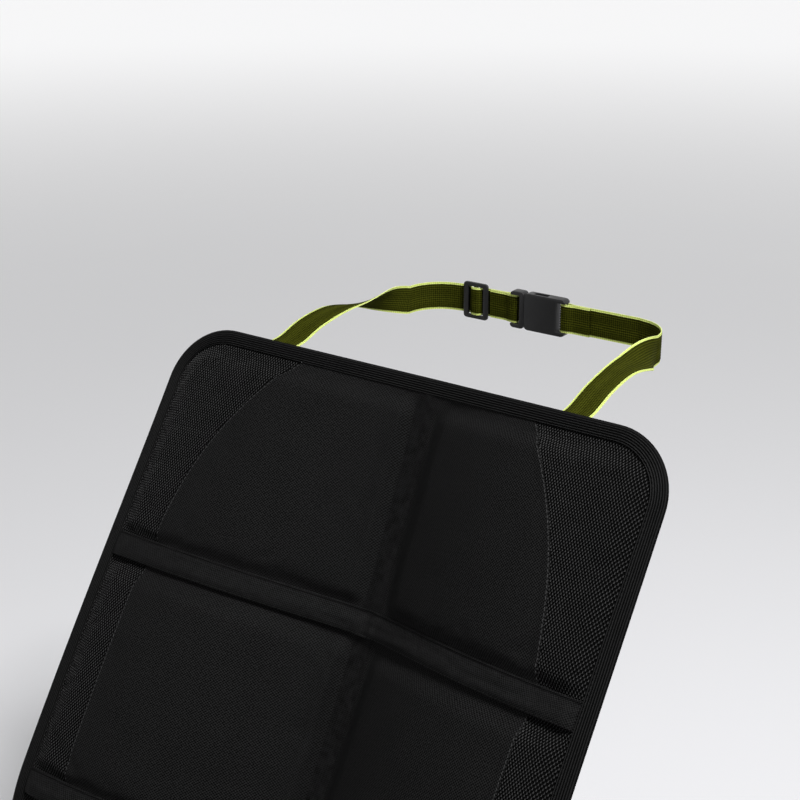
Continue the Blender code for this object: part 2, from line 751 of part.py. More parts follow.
def make_plug(look):
    """The buckle's plug: a head with a bar for the strap, a guide, and two hooked prongs."""
    head_right = -SOCKET_LENGTH / 2 - BUCKLE_GAP
    head_left = head_right - PLUG_HEAD_LENGTH
    half = BUCKLE_HEIGHT / 2
    thick = BUCKLE_THICKNESS / 2
    head = hardware_box("buckle_plug", (head_left, head_right), thick, half, look, PLUG_ROUNDING)
    inner_y = thick - SOCKET_WALL - BUCKLE_GAP
    inner_z = half - SOCKET_WALL - BUCKLE_GAP
    joint = head_right - JOIN_OVERLAP
    prong_end = head_right + PRONG_LENGTH
    hook_end = prong_end - HOOK_FROM_END
    guide_ends = (joint, head_right + GUIDE_LENGTH)
    joined = [hardware_box("guide", guide_ends, inner_y, GUIDE_HALF_HEIGHT, look)]
    for side, side_name in ((-1, "low"), (1, "high")):
        outer = inner_z - PRONG_HOOK
        near, far = sorted((side * (outer - PRONG_WIDTH), side * outer))
        low = (joint, rear_line - inner_y, strap_level + near)
        high = (prong_end, rear_line + inner_y, strap_level + far)
        joined.append(finish("prong_" + side_name, box(low, high), look))
        near, far = sorted((side * (outer - JOIN_OVERLAP), side * inner_z))
        low = (hook_end - HOOK_LENGTH, rear_line - inner_y, strap_level + near)
        high = (hook_end, rear_line + inner_y, strap_level + far)
        hook = soften(box(low, high), HOOK_ROUNDING, 1)
        joined.append(finish("hook_" + side_name, hook, look))
    add(head, *joined)
    slot_z = WEBBING_WIDTH / 2 + BUCKLE_GAP
    slot_left = head_left + BAR_WIDTH
    slot_right = slot_left + WEBBING_SLOT
    cutters = [hardware_box("plug_slot", (slot_left, slot_right), BUCKLE_THICKNESS, slot_z, look)]
    for side, side_name in ((-1, "front"), (1, "rear")):
        near, far = sorted((side * BAR_THICKNESS / 2, side * (thick + CUT_OVERSHOOT)))
        low = (head_left - CUT_OVERSHOOT, rear_line + near, strap_level - slot_z)
        high = (slot_left + JOIN_OVERLAP, rear_line + far, strap_level + slot_z)
        cutters.append(finish("plug_thinning_" + side_name, box(low, high), look))
    cut(head, *cutters)


def make_slider(look):
    """The slider that sets the strap's length: a plate with two slots and a middle bar."""
    half = BUCKLE_HEIGHT / 2
    thick = SLIDER_THICKNESS / 2
    reach = slider_reach
    low = (-slider_place - reach, slider_plane - thick, strap_level - half)
    high = (-slider_place + reach, slider_plane + thick, strap_level + half)
    plate = finish("strap_slider", soften(box(low, high), SLIDER_ROUNDING, 1), look)
    slot_z = WEBBING_WIDTH / 2 + BUCKLE_GAP
    slots = []
    for side, side_name in ((-1, "left"), (1, "right")):
        near, far = sorted((side * SLIDER_BAR / 2, side * (SLIDER_BAR / 2 + WEBBING_SLOT)))
        low = (-slider_place + near, slider_plane - CUT_OVERSHOOT, strap_level - slot_z)
        high = (-slider_place + far, slider_plane + CUT_OVERSHOOT, strap_level + slot_z)
        slots.append(finish("slider_slot_" + side_name, box(low, high), look))
    cut(plate, *slots)


def main():
    for leftover in list(bpy.data.objects):
        bpy.data.objects.remove(leftover, do_unlink=True)
    smooth_cloth = material("smooth black cloth", (0.013, 0.013, 0.014), 0.8)
    mesh_cloth = material("black mesh", (0.02, 0.02, 0.021), 0.7)
    tape = material("ribbed tape", (0.016, 0.016, 0.017), 0.75)
    foam = material("grey foam", (0.2, 0.2, 0.2), 0.95)
    grip = material("grip sheet", (0.02, 0.02, 0.02), 0.6)
    webbing = material("olive webbing", (0.06, 0.07, 0.012), 0.7)
    thread = material("lime thread", (0.4, 0.5, 0.08), 0.7)
    moulding = material("black moulding", (0.015, 0.015, 0.015), 0.45)
    make_backing(grip)
    make_foam(foam)
    make_centre_cover(smooth_cloth)
    make_side_mesh(mesh_cloth)
    make_centre_strip(smooth_cloth)
    make_fold_bands(smooth_cloth)
    make_edge_binding(tape)
    make_right_strap(webbing)
    make_left_strap(webbing)
    make_strap_tacks(thread)
    make_socket(moulding)
    make_plug(moulding)
    make_slider(moulding)


main()
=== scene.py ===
import json
import math

import bpy
import numpy as np
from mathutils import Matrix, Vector, noise

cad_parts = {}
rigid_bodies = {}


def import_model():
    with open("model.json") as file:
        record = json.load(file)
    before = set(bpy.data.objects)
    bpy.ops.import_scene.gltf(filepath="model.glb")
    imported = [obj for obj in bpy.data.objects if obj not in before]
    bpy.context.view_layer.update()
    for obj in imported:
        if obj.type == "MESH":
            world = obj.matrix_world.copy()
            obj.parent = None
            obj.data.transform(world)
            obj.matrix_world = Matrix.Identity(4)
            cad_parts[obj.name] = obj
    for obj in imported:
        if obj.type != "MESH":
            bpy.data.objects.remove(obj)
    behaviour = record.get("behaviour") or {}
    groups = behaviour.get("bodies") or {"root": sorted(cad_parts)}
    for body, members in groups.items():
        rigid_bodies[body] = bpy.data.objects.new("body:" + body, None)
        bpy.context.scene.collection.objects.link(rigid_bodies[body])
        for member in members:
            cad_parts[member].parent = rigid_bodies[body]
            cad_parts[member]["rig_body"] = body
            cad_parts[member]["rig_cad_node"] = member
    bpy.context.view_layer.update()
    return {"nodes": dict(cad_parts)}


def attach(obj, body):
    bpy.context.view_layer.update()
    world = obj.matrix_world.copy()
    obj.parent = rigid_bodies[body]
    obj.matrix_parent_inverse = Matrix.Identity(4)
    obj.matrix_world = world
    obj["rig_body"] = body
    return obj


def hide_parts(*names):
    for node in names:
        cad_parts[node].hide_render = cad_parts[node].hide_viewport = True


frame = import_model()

mm = 0.001


# the form that all the cloth lies on. A place on it is u, across from the middle, and s, down
# from the top edge. Flat patterns are drawn at x = u, y = -s, z = height, then laid on it
mat = {
    "width": 470 * mm, "corner": 52 * mm, "backRow": 191 * mm, "seatRow": 200 * mm,
    "flap": 150 * mm, "band": 21.3 * mm, "channel": 18.3 * mm,
    "lean": math.radians(27.4), "leanAt": 200 * mm, "backBend": 2370 * mm, "creaseBend": 60 * mm,
    "depthTop": 34 * mm, "depthMost": 78.5 * mm, "depthMostAt": 404 * mm, "depthFade": 1.5,
    "roundness": 2.03, "valley": 28 * mm,
    "seamEnd": 102 * mm, "seamMiddle": 187.5 * mm, "seamArc": 271 * mm, "seamBow": 3,
    "coverLow": 2.4 * mm, "foamRise": 6.4 * mm, "crown": 2.5 * mm, "fall": 16 * mm,
    "tapeLap": 12.3 * mm, "tapeTop": 4.0 * mm, "tapeRound": 1.3 * mm, "tapeRibs": 6,
    "tapeGap": 0.4 * mm, "tuck": 3 * mm, "strapPlace": 140 * mm,
    "channelRollLeft": 12 * mm, "channelRollRight": 24 * mm, "rollUnderBand": 17 * mm,
    "flatUnderBand": 4 * mm, "rollOverBand": 11 * mm,
    "ridge": 1.7 * mm, "ridgeFrom": 10 * mm, "ridgeWide": 5 * mm,
}
halfWidth = mat["width"] / 2
backLength = 3 * mat["backRow"] + 2 * mat["band"]
creaseMiddle = backLength + mat["band"] / 2
matLength = backLength + 2 * mat["seatRow"] + 3 * mat["band"] + mat["flap"]
headingAtCrease = math.pi / 2 - mat["lean"] - (creaseMiddle - mat["leanAt"]) / mat["backBend"]
creaseStart = creaseMiddle - mat["creaseBend"] * headingAtCrease / 2
creaseEnd = creaseMiddle + mat["creaseBend"] * headingAtCrease / 2
seatLength = matLength - creaseEnd
channelHalf = mat["channel"] / 2
fieldEdge = mat["tapeLap"] + mat["tapeGap"]


# Place and heading of the mat's middle line at s
def spine(s):
    heading = np.where(s < creaseStart, headingAtCrease + (creaseStart - s) / mat["backBend"],
                       np.clip((creaseEnd - s) / mat["creaseBend"], 0, None))
    low = np.minimum(heading, headingAtCrease)
    high = np.maximum(heading, headingAtCrease)
    y = seatLength / 2 + mat["creaseBend"] * np.sin(low) - np.clip(s - creaseEnd, 0, None)
    y += mat["backBend"] * (np.sin(high) - math.sin(headingAtCrease))
    z = mat["creaseBend"] * (1 - np.cos(low))
    z += mat["backBend"] * (math.cos(headingAtCrease) - np.cos(high))
    return y, z, heading


# The mat's underside, which wraps a valley in the upper half and lies flat in the lower one
def underside(u, s):
    y, z, heading = spine(s)
    upper = np.sin(np.pi / 2 * np.clip(s / mat["depthMostAt"], -0.1, 1))
    lower = np.clip((s - mat["depthMostAt"]) / (creaseMiddle - mat["depthMostAt"]), 0, 1)
    depth = mat["depthTop"] + (mat["depthMost"] - mat["depthTop"]) * upper
    depth = np.where(s < mat["depthMostAt"], depth,
                     mat["depthMost"] * np.clip(np.cos(np.pi / 2 * lower), 0, 1) ** mat["depthFade"])
    soft = mat["valley"] / halfWidth
    share = (np.hypot(u / halfWidth, soft) - soft) / (math.hypot(1, soft) - soft)
    lift = depth * (1 - np.clip(1 - share, 0, None) ** mat["roundness"])
    return np.stack([u, y - lift * np.sin(heading), z + lift * np.cos(heading)], axis=-1)


# Points at a height above the mat's underside, square to it
def onForm(u, s, height):
    u, s, height = (np.asarray(value, float) for value in (u, s, height))
    step = 0.5 * mm
    down = underside(u, s + step) - underside(u, s - step)
    side = underside(u + step, s) - underside(u - step, s)
    normal = np.cross(down, side)
    normal /= np.linalg.norm(normal, axis=-1, keepdims=True)
    return underside(u, s) + normal * height[..., None]


# Distance along the pattern from the nearer end
def fromEnd(s):
    return np.minimum(s, matLength - s)


# u of the line that runs at an inset from the mat's outline
def edgeAt(s, inset):
    corner = mat["corner"]
    end = fromEnd(s)
    bend = np.sqrt(np.clip((corner - inset) ** 2 - (corner - end) ** 2, 0, None))
    rounded = halfWidth - corner + np.where(end < inset, end - inset, bend)
    return np.where(end >= corner, halfWidth - inset, rounded)


# How far a place lies inside the outline
def insetOf(u, s):
    corner = mat["corner"]
    end = fromEnd(s)
    overU = np.abs(u) - (halfWidth - corner)
    bend = corner - np.hypot(overU, corner - end)
    return np.where((end < corner) & (overU > 0), bend, np.minimum(halfWidth - np.abs(u), end))


# u of the arced seam between the smooth panel and the mesh
def seamAt(s):
    share = np.clip(1 - fromEnd(s) / mat["seamArc"], 0, 1) ** mat["seamBow"]
    return mat["seamMiddle"] - (mat["seamMiddle"] - mat["seamEnd"]) * share


# Soft step from 0 to 1
def smoothStep(x):
    x = np.clip(x, 0, 1)
    return x * x * (3 - 2 * x)


# How full the pad is at a distance inside its stitched border
def fall(distance):
    return np.sin(np.pi / 2 * np.clip(distance / mat["fall"], 0, 1))


# Unevenness between about -1 and 1, the same each run
def ripple(x, y, seed):
    return np.array([noise.noise(Vector((a, b, seed))) for a, b in zip(x, y)])


def makeRows():
    names = ["back_upper", "back_middle", "back_lower", "seat_rear", "seat_front", "front_flap"]
    lengths = [mat["backRow"]] * 3 + [mat["seatRow"]] * 2 + [mat["flap"]]
    rows = []
    start = 0.0
    for name, length in zip(names, lengths):
        rows.append({"name": name, "start": start, "end": start + length})
        start += length + mat["band"]
    rows[0]["start"] = fieldEdge
    rows[-1]["end"] = matLength - fieldEdge
    return rows


rows = makeRows()


# working with meshes
def deselectAll():
    if bpy.context.object and bpy.context.object.mode != "OBJECT":
        bpy.ops.object.mode_set(mode="OBJECT")
    bpy.ops.object.select_all(action="DESELECT")


def pick(piece):
    deselectAll()
    piece.select_set(True)
    bpy.context.view_layer.objects.active = piece


def editAll(piece, mode="FACE"):
    pick(piece)
    bpy.ops.object.mode_set(mode="EDIT")
    bpy.ops.mesh.select_mode(type=mode)
    bpy.ops.mesh.select_all(action="SELECT")


def points(piece):
    found = np.empty(len(piece.data.vertices) * 3)
    piece.data.vertices.foreach_get("co", found)
    return found.reshape(-1, 3)


def setPoints(piece, places):
    piece.data.vertices.foreach_set("co", np.ascontiguousarray(places, dtype=float).ravel())
    piece.data.update()


# A grid primitive whose points go where place puts them, from shares 0 to 1 across and down
def flatGrid(name, columns, lines, place):
    deselectAll()
    bpy.ops.mesh.primitive_grid_add(x_subdivisions=columns, y_subdivisions=lines, size=1,
                                    location=(0, 0, 0))
    piece = bpy.context.object
    piece.name = name
    flat = points(piece)
    across = np.round((flat[:, 0] + 0.5) * columns) / columns
    down = np.round((0.5 - flat[:, 1]) * lines) / lines
    setPoints(piece, np.stack(place(across, down), axis=-1))
    return piece


# Gives an open cloth its underside at a height, and the walls between
def closeDown(piece, low):
    editAll(piece)
    bpy.ops.mesh.extrude_region_move(TRANSFORM_OT_translate={"value": (0, 0, 0)})
    bpy.ops.object.mode_set(mode="OBJECT")
    chosen = np.empty(len(piece.data.vertices), bool)
    piece.data.vertices.foreach_get("select", chosen)
    places = points(piece)
    places[~chosen, 2] = low(places[~chosen, 0], -places[~chosen, 1])
    setPoints(piece, places)
    return chosen


# Keeps the flat pattern as the UV map, in metres, so that the weave follows the cloth
def markPattern(piece):
    places = points(piece)
    corners = np.empty(len(piece.data.loops), int)
    piece.data.loops.foreach_get("vertex_index", corners)
    layer = piece.data.uv_layers.active or piece.data.uv_layers.new(name="pattern")
    layer.data.foreach_set("uv", places[corners, :2].ravel())


def layOnForm(piece, marked=False):
    if not marked:
        markPattern(piece)
    places = points(piece)
    setPoints(piece, onForm(places[:, 0], -places[:, 1], places[:, 2]))
    return piece


def shadeSmooth(piece, angle=50):
    pick(piece)
    bpy.ops.object.shade_smooth_by_angle(angle=math.radians(angle))


def sideName(side):
    return "_right" if side > 0 else "_left"


# The piece's finishes, body and the CAD nodes that it replaces
def setPiece(piece, replaced, finishes):
    for finish in finishes:
        piece.data.materials.append(finish)
    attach(piece, "root")
    if replaced:
        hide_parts(*replaced)
    return piece


# materials, all procedural. Cloth reads the flat pattern in its UV map
def newMaterial(name, colour, roughness, sheen=0.0, specular=0.5):
    made = bpy.data.materials.new(name)
    made.use_nodes = True
    nodes = made.node_tree.nodes
    shader = nodes["Principled BSDF"]
    shader.inputs["Base Color"].default_value = (*colour, 1)
    shader.inputs["Roughness"].default_value = roughness
    shader.inputs["Sheen Weight"].default_value = sheen
    shader.inputs["Sheen Roughness"].default_value = 0.5
    shader.inputs["Specular IOR Level"].default_value = specular
    return made, nodes, made.node_tree.links, shader


def addNode(nodes, kind, **values):
    node = nodes.new(kind)
    for name, value in values.items():
        if hasattr(node, name):
            setattr(node, name, value)
        else:
            node.inputs[name.replace("_", " ")].default_value = value
    return node


def tintedBy(nodes, links, shader, source, dark, light, low=0.3, high=0.7):
    ramp = nodes.new("ShaderNodeValToRGB")
    ramp.color_ramp.elements[0].position = low
    ramp.color_ramp.elements[1].position = high
    ramp.color_ramp.elements[0].color = (*dark, 1)
    ramp.color_ramp.elements[1].color = (*light, 1)
    links.new(source, ramp.inputs["Fac"])
    links.new(ramp.outputs["Color"], shader.inputs["Base Color"])
    return ramp


def bumpFrom(nodes, links, shader, source, strength, distance):
    bump = addNode(nodes, "ShaderNodeBump", Strength=strength, Distance=distance)
    links.new(source, bump.inputs["Height"])
    links.new(bump.outputs["Normal"], shader.inputs["Normal"])


# Even stripes at a pitch in metres, turned in the pattern's plane
def stripes(nodes, links, place, pitch, turn):
    mapping = addNode(nodes, "ShaderNodeMapping")
    mapping.inputs["Rotation"].default_value = (0, 0, math.radians(turn))
    mapping.inputs["Scale"].default_value = (1 / pitch, 1 / pitch, 1 / pitch)
    wave = addNode(nodes, "ShaderNodeTexWave", Scale=math.pi / 10, Distortion=0.0)
    links.new(place, mapping.inputs["Vector"])
    links.new(mapping.outputs["Vector"], wave.inputs["Vector"])
    return wave.outputs["Fac"]


def mathOf(nodes, links, operation, first, second):
    node = addNode(nodes, "ShaderNodeMath", operation=operation)
    for slotNumber, value in enumerate((first, second)):
        if hasattr(value, "links"):
            links.new(value, node.inputs[slotNumber])
        else:
            node.inputs[slotNumber].default_value = value
    return node.outputs["Value"]


# Soft blotches of about a size in metres
def grain(nodes, links, place, size, detail=2.0):
    texture = addNode(nodes, "ShaderNodeTexNoise", Scale=1 / size, Detail=detail, Roughness=0.55)
    links.new(place, texture.inputs["Vector"])
    return texture.outputs["Fac"]


def wovenMaterial(name, spec):
    made, nodes, links, shader = newMaterial(name, spec["dark"], spec["roughness"],
                                             spec["sheen"], spec["specular"])
    place = nodes.new("ShaderNodeTexCoord").outputs["UV"]
    twill = stripes(nodes, links, place, spec["pitch"], spec["turn"])
    cross = stripes(nodes, links, place, spec["pitch"] * spec["crossPitch"], spec["crossTurn"])
    both = mathOf(nodes, links, "MULTIPLY_ADD", cross, spec["crossShare"])
    links.new(twill, both.node.inputs[2])
    weave = mathOf(nodes, links, "DIVIDE", both, 1 + spec["crossShare"])
    soft = mathOf(nodes, links, "SUBTRACT", grain(nodes, links, place, spec["blotch"]), 0.5)
    fine = mathOf(nodes, links, "SUBTRACT", grain(nodes, links, place, spec["pitch"] * 0.8, 0.0), 0.5)
    uneven = mathOf(nodes, links, "MULTIPLY_ADD", soft, spec["clouds"])
    links.new(mathOf(nodes, links, "MULTIPLY", fine, spec["uneven"]), uneven.node.inputs[2])
    shade = mathOf(nodes, links, "ADD", weave, uneven)
    tintedBy(nodes, links, shader, shade, spec["dark"], spec["light"], spec["low"], spec["high"])
    bumpFrom(nodes, links, shader, weave, spec["bump"], spec["depth"])
    return made


ribPitch = (mat["tapeLap"] - mat["tapeRound"]) / mat["tapeRibs"]
smoothSpec = {
    "dark": (0.0004, 0.0004, 0.0004), "light": (0.0150, 0.0150, 0.0151), "roughness": 0.75,
    "sheen": 0.0, "specular": 0.03, "pitch": 1.7 * mm, "turn": 40, "crossPitch": 1.0,
    "crossTurn": -52, "crossShare": 0.9, "blotch": 30 * mm, "clouds": 0.12, "uneven": 0.7,
    "bump": 0.6, "depth": 0.16 * mm, "low": 0.22, "high": 0.88,
}
bandSpec = dict(smoothSpec, turn=52, crossTurn=-40, pitch=1.5 * mm, roughness=0.7, clouds=0.4,
                blotch=7 * mm, light=(0.0140, 0.0140, 0.0141))
# Channel strip cloth: the band cloth with a darker light end, painted shade for the sunk channel
channelSpec = dict(bandSpec, blotch=8 * mm, clouds=1.0, light=(0.0115, 0.0115, 0.0116))
gripSpec = dict(smoothSpec, pitch=1.6 * mm, turn=0, crossTurn=90, crossShare=1.0,
                dark=(0.008, 0.008, 0.0085), light=(0.02, 0.02, 0.021), roughness=0.75)
# Tape cloth: its stripes run at the rib pitch and the tape's UV lines them up with the ribs, so the
# grooves are painted dark and the rib tops painted light: painted shade and painted highlight
tapeSpec = dict(smoothSpec, pitch=ribPitch, turn=90, crossPitch=0.9, crossTurn=0, crossShare=0.15,
                dark=(0.0003, 0.0003, 0.0003), light=(0.0125, 0.0125, 0.0126), roughness=0.65,
                specular=0.04, uneven=0.35, low=0.3, high=0.85)
webSpec = {
    "dark": (0.008, 0.009, 0.0004), "light": (0.046, 0.051, 0.0045), "roughness": 0.8,
    "sheen": 0.0, "specular": 0.015, "pitch": 2.0 * mm, "turn": 0, "crossPitch": 1.0,
    "crossTurn": 90, "crossShare": 0.9, "blotch": 12 * mm, "clouds": 0.2, "uneven": 0.5,
    "bump": 0.7, "depth": 0.2 * mm, "low": 0.15, "high": 0.85,
}
limeSpec = dict(webSpec, dark=(0.42, 0.50, 0.10), light=(0.66, 0.74, 0.26), roughness=0.5)

smoothCloth = wovenMaterial("smooth black twill", smoothSpec)
bandCloth = wovenMaterial("black band twill", bandSpec)
channelShadedCloth = wovenMaterial("black channel twill with painted shade", channelSpec)
tapeCloth = wovenMaterial("black ribbed tape, painted rib shade", tapeSpec)
gripCloth = wovenMaterial("grip sheet", gripSpec)
oliveWeb = wovenMaterial("olive webbing", webSpec)
limeWeb = wovenMaterial("lime selvedge", limeSpec)


# A plain finish with small uneven grain: yarn, thread, rubber or moulded plastic
def speckledMaterial(name, spec):
    made, nodes, links, shader = newMaterial(name, spec["dark"], spec["roughness"],
                                             spec["sheen"], spec["specular"])
    place = nodes.new("ShaderNodeTexCoord").outputs["Object"]
    speckle = grain(nodes, links, place, spec["grain"], 4.0)
    tintedBy(nodes, links, shader, speckle, spec["dark"], spec["light"])
    bumpFrom(nodes, links, shader, speckle, spec["bump"], spec["depth"])
    return made


meshPitch = 2.4 * mm
# Mesh strands: stripes at the spacing of the honeycomb's rows, along two of its three row directions,
# brighten the strands in those rows: painted sheen where the yarn would catch the light. The darker
# rest is the yarn's own colour
strandSpec = dict(smoothSpec, pitch=meshPitch * math.sqrt(0.75), turn=30, crossPitch=1.0,
                  crossTurn=-30, crossShare=0.6, uneven=0.1, clouds=0.15, dark=(0.0010, 0.0010, 0.0010),
                  light=(0.050, 0.050, 0.0503), roughness=0.75, specular=0.02, blotch=14 * mm,
                  low=0.5, high=1.05)
strandYarnSheen = wovenMaterial("mesh strands with painted sheen", strandSpec)
# Pit floors: the layer under the mesh, made darker than the black cloth: painted shade in the holes
meshHoleShade = speckledMaterial("mesh hole floors, painted shade", {
    "dark": (0.0008, 0.0008, 0.0008), "light": (0.002, 0.002, 0.002), "roughness": 0.9,
    "sheen": 0.0, "specular": 0.02, "grain": 2 * mm, "bump": 0.3, "depth": 0.1 * mm})
threadSpec = {
    "dark": (0.005, 0.005, 0.005), "light": (0.016, 0.016, 0.0162), "roughness": 0.65,
    "sheen": 0.0, "specular": 0.06, "grain": 0.5 * mm, "bump": 0.5, "depth": 0.06 * mm,
}
blackThread = speckledMaterial("black thread", threadSpec)
# Seam topstitching: real thread, made lighter grey than the black thread so that the seam shows a thin
# light line: painted highlight along the hem's folded edge
seamHighlightThread = speckledMaterial("grey seam thread, painted highlight", dict(
    threadSpec, dark=(0.028, 0.028, 0.0282), light=(0.065, 0.065, 0.0655), roughness=0.6))
limeThread = speckledMaterial("lime thread", dict(
    threadSpec, dark=(0.3, 0.37, 0.1), light=(0.5, 0.58, 0.25), roughness=0.5, sheen=0.1,
    specular=0.5))
gripRubber = speckledMaterial("grip rubber", {
    "dark": (0.012, 0.012, 0.012), "light": (0.022, 0.022, 0.022), "roughness": 0.5,
    "sheen": 0.0, "specular": 0.5, "grain": 1 * mm, "bump": 0.2, "depth": 0.05 * mm})
moulding = speckledMaterial("black moulding", {
    "dark": (0.007, 0.007, 0.0072), "light": (0.013, 0.013, 0.0134), "roughness": 0.42,
    "sheen": 0.0, "specular": 0.3, "grain": 0.7 * mm, "bump": 0.25, "depth": 0.05 * mm})
print("materials ready")


# camera, at the photograph's place and angle
cameraSpec = {
    "place": (0.60351, -0.2186, 0.9202), "turn": (69.11, 0.365, 36.505), "lens": 63.0,
}


def addCamera(spec):
    deselectAll()
    bpy.ops.object.camera_add(location=spec["place"],
                              rotation=[math.radians(angle) for angle in spec["turn"]])
    camera = bpy.context.object
    camera.data.lens = spec["lens"]
    camera.data.sensor_width = 36.0
    camera.data.clip_start = 0.01
    bpy.context.scene.camera = camera


addCamera(cameraSpec)

# quilted fields: each is simulated flat, stitched down round its border and pressed up by its foam
quiltSpec = {
    "cell": 3.6 * mm, "pressure": 1.2, "slack": 0.009, "frames": 16, "mostMove": 1.1 * mm,
    "unevenness": 0.3 * mm, "bumpsPerMetre": 45, "mass": 0.18, "stiffness": 12.0,
    "bending": 0.35, "damping": 2.0, "quality": 5,
}


# The cover's plain height over its foam, before it is simulated
def coverTop(u, s, row):
    along = np.sin(np.pi * np.clip((s - row["start"]) / (row["end"] - row["start"]), 0, 1))
    width = halfWidth - fieldEdge - channelHalf
    beside = np.sin(np.pi * np.clip((np.abs(u) - channelHalf) / width, 0, 1))
    rise = mat["foamRise"] + mat["crown"] * along * beside
    left = np.sin(np.pi / 2 * np.clip((-u - channelHalf) / mat["channelRollLeft"], 0, 1))
    right = smoothStep((u - channelHalf) / mat["channelRollRight"])
    rolled = np.where(u < 0, left, right)
    grooved = smoothStep((s - row["start"] - mat["flatUnderBand"]) / mat["rollUnderBand"])
    grooved = grooved * smoothStep((row["end"] - s) / mat["rollOverBand"])
    ridge = mat["ridge"] * np.exp(-((-u - channelHalf - mat["ridgeFrom"]) / mat["ridgeWide"]) ** 2)
    return mat["coverLow"] + (rise + ridge) * rolled * grooved * fall(insetOf(u, s) - fieldEdge)


# Cloth with its stitched border held still, run and applied
def simulateCover(cover, stitched, spec):
    group = cover.vertex_groups.new(name="stitched")
    group.add([int(index) for index in np.flatnonzero(stitched)], 1.0, "REPLACE")
    pick(cover)
    cloth = cover.modifiers.new("quilting", "CLOTH")
    settings = cloth.settings
    settings.quality = spec["quality"]
    settings.mass = spec["mass"]
    settings.tension_stiffness = spec["stiffness"]
    settings.compression_stiffness = spec["stiffness"]
    settings.shear_stiffness = spec["stiffness"] / 3
    settings.bending_stiffness = spec["bending"]
    settings.air_damping = spec["damping"]
    settings.shrink_min = -spec["slack"]
    settings.use_pressure = True
    settings.uniform_pressure_force = spec["pressure"]
    settings.vertex_group_mass = "stitched"
    settings.effector_weights.gravity = 0
    cloth.collision_settings.use_collision = False
    cloth.point_cache.frame_start = 1
    cloth.point_cache.frame_end = spec["frames"]
    for number in range(1, spec["frames"] + 1):
        bpy.context.scene.frame_set(number)
    bpy.ops.object.modifier_apply(modifier=cloth.name)
    bpy.context.scene.frame_set(1)


# Heights of one stitched field on an even grid of shares, across and down it
def quiltField(row, side, spec, seed):
    columns = round((halfWidth - fieldEdge - channelHalf) / spec["cell"])
    lines = round((row["end"] - row["start"]) / spec["cell"])

    def place(across, down):
        s = row["start"] + down * (row["end"] - row["start"])
        outward = across if side > 0 else 1 - across
        u = side * (channelHalf + outward * (edgeAt(s, fieldEdge) - channelHalf))
        return u, -s, coverTop(u, s, row)

    cover = flatGrid("quilting", columns, lines, place)
    start = points(cover)
    across = (start[:, 0] * side - channelHalf) / (edgeAt(-start[:, 1], fieldEdge) - channelHalf)
    down = (-start[:, 1] - row["start"]) / (row["end"] - row["start"])
    columnOf = np.round(across * columns).astype(int)
    lineOf = np.round(down * lines).astype(int)
    stitched = (columnOf == 0) | (columnOf == columns) | (lineOf == 0) | (lineOf == lines)
    flat = start[:, :2] * spec["bumpsPerMetre"]
    bumps = ripple(flat[:, 0], flat[:, 1], seed) * spec["unevenness"] * ~stitched
    uneven = start + np.stack([bumps * 0, bumps * 0, bumps], axis=-1)
    setPoints(cover, uneven)
    simulateCover(cover, stitched, spec)
    change = points(cover)[:, 2] - start[:, 2]
    heights = np.empty((lines + 1, columns + 1))
    heights[lineOf, columnOf] = start[:, 2] + spec["mostMove"] * np.tanh(change / spec["mostMove"])
    bpy.data.objects.remove(cover, do_unlink=True)
    return heights


# Weights of four neighbours for a smooth curve through the middle two
def curveWeights(t):
    return np.stack([-t + 2 * t**2 - t**3, 2 - 5 * t**2 + 3 * t**3,
                     t + 4 * t**2 - 3 * t**3, t**3 - t**2]) / 2


# A quilted field's height anywhere in it, on a smooth curve through its grid
def fieldHeight(u, s, row, heights):
    lines, columns = heights.shape[0] - 1, heights.shape[1] - 1
    across = (np.abs(u) - channelHalf) / (edgeAt(s, fieldEdge) - channelHalf)
    down = (s - row["start"]) / (row["end"] - row["start"])
    x = np.clip(across, 0, 1) * columns
    y = np.clip(down, 0, 1) * lines
    column = np.minimum(x.astype(int), columns - 1)
    line = np.minimum(y.astype(int), lines - 1)
    weightsX = curveWeights(x - column)
    weightsY = curveWeights(y - line)
    total = 0
    for j in range(4):
        for i in range(4):
            found = heights[np.clip(line + j - 1, 0, lines), np.clip(column + i - 1, 0, columns)]
            total = total + found * weightsX[i] * weightsY[j]
    return total


# smooth centre panels: closed pads with a folded, topstitched hem along the arced seam
panelSpec = {
    "cell": 3.0 * mm, "underTrim": 0.5 * mm, "base": 1.35 * mm, "hem": 0.5 * mm,
    "hemWidth": 6.5 * mm, "hemFlat": 0.6, "edgeRound": 0.7 * mm, "edgeDrop": 0.3 * mm,
    "seamGap": 0.12 * mm, "endFade": 4 * mm,
    "hemColumns": (7.5 * mm, 6 * mm, 3.5 * mm, 1.6 * mm, 0.7 * mm, 0.2 * mm, 0.0),
}


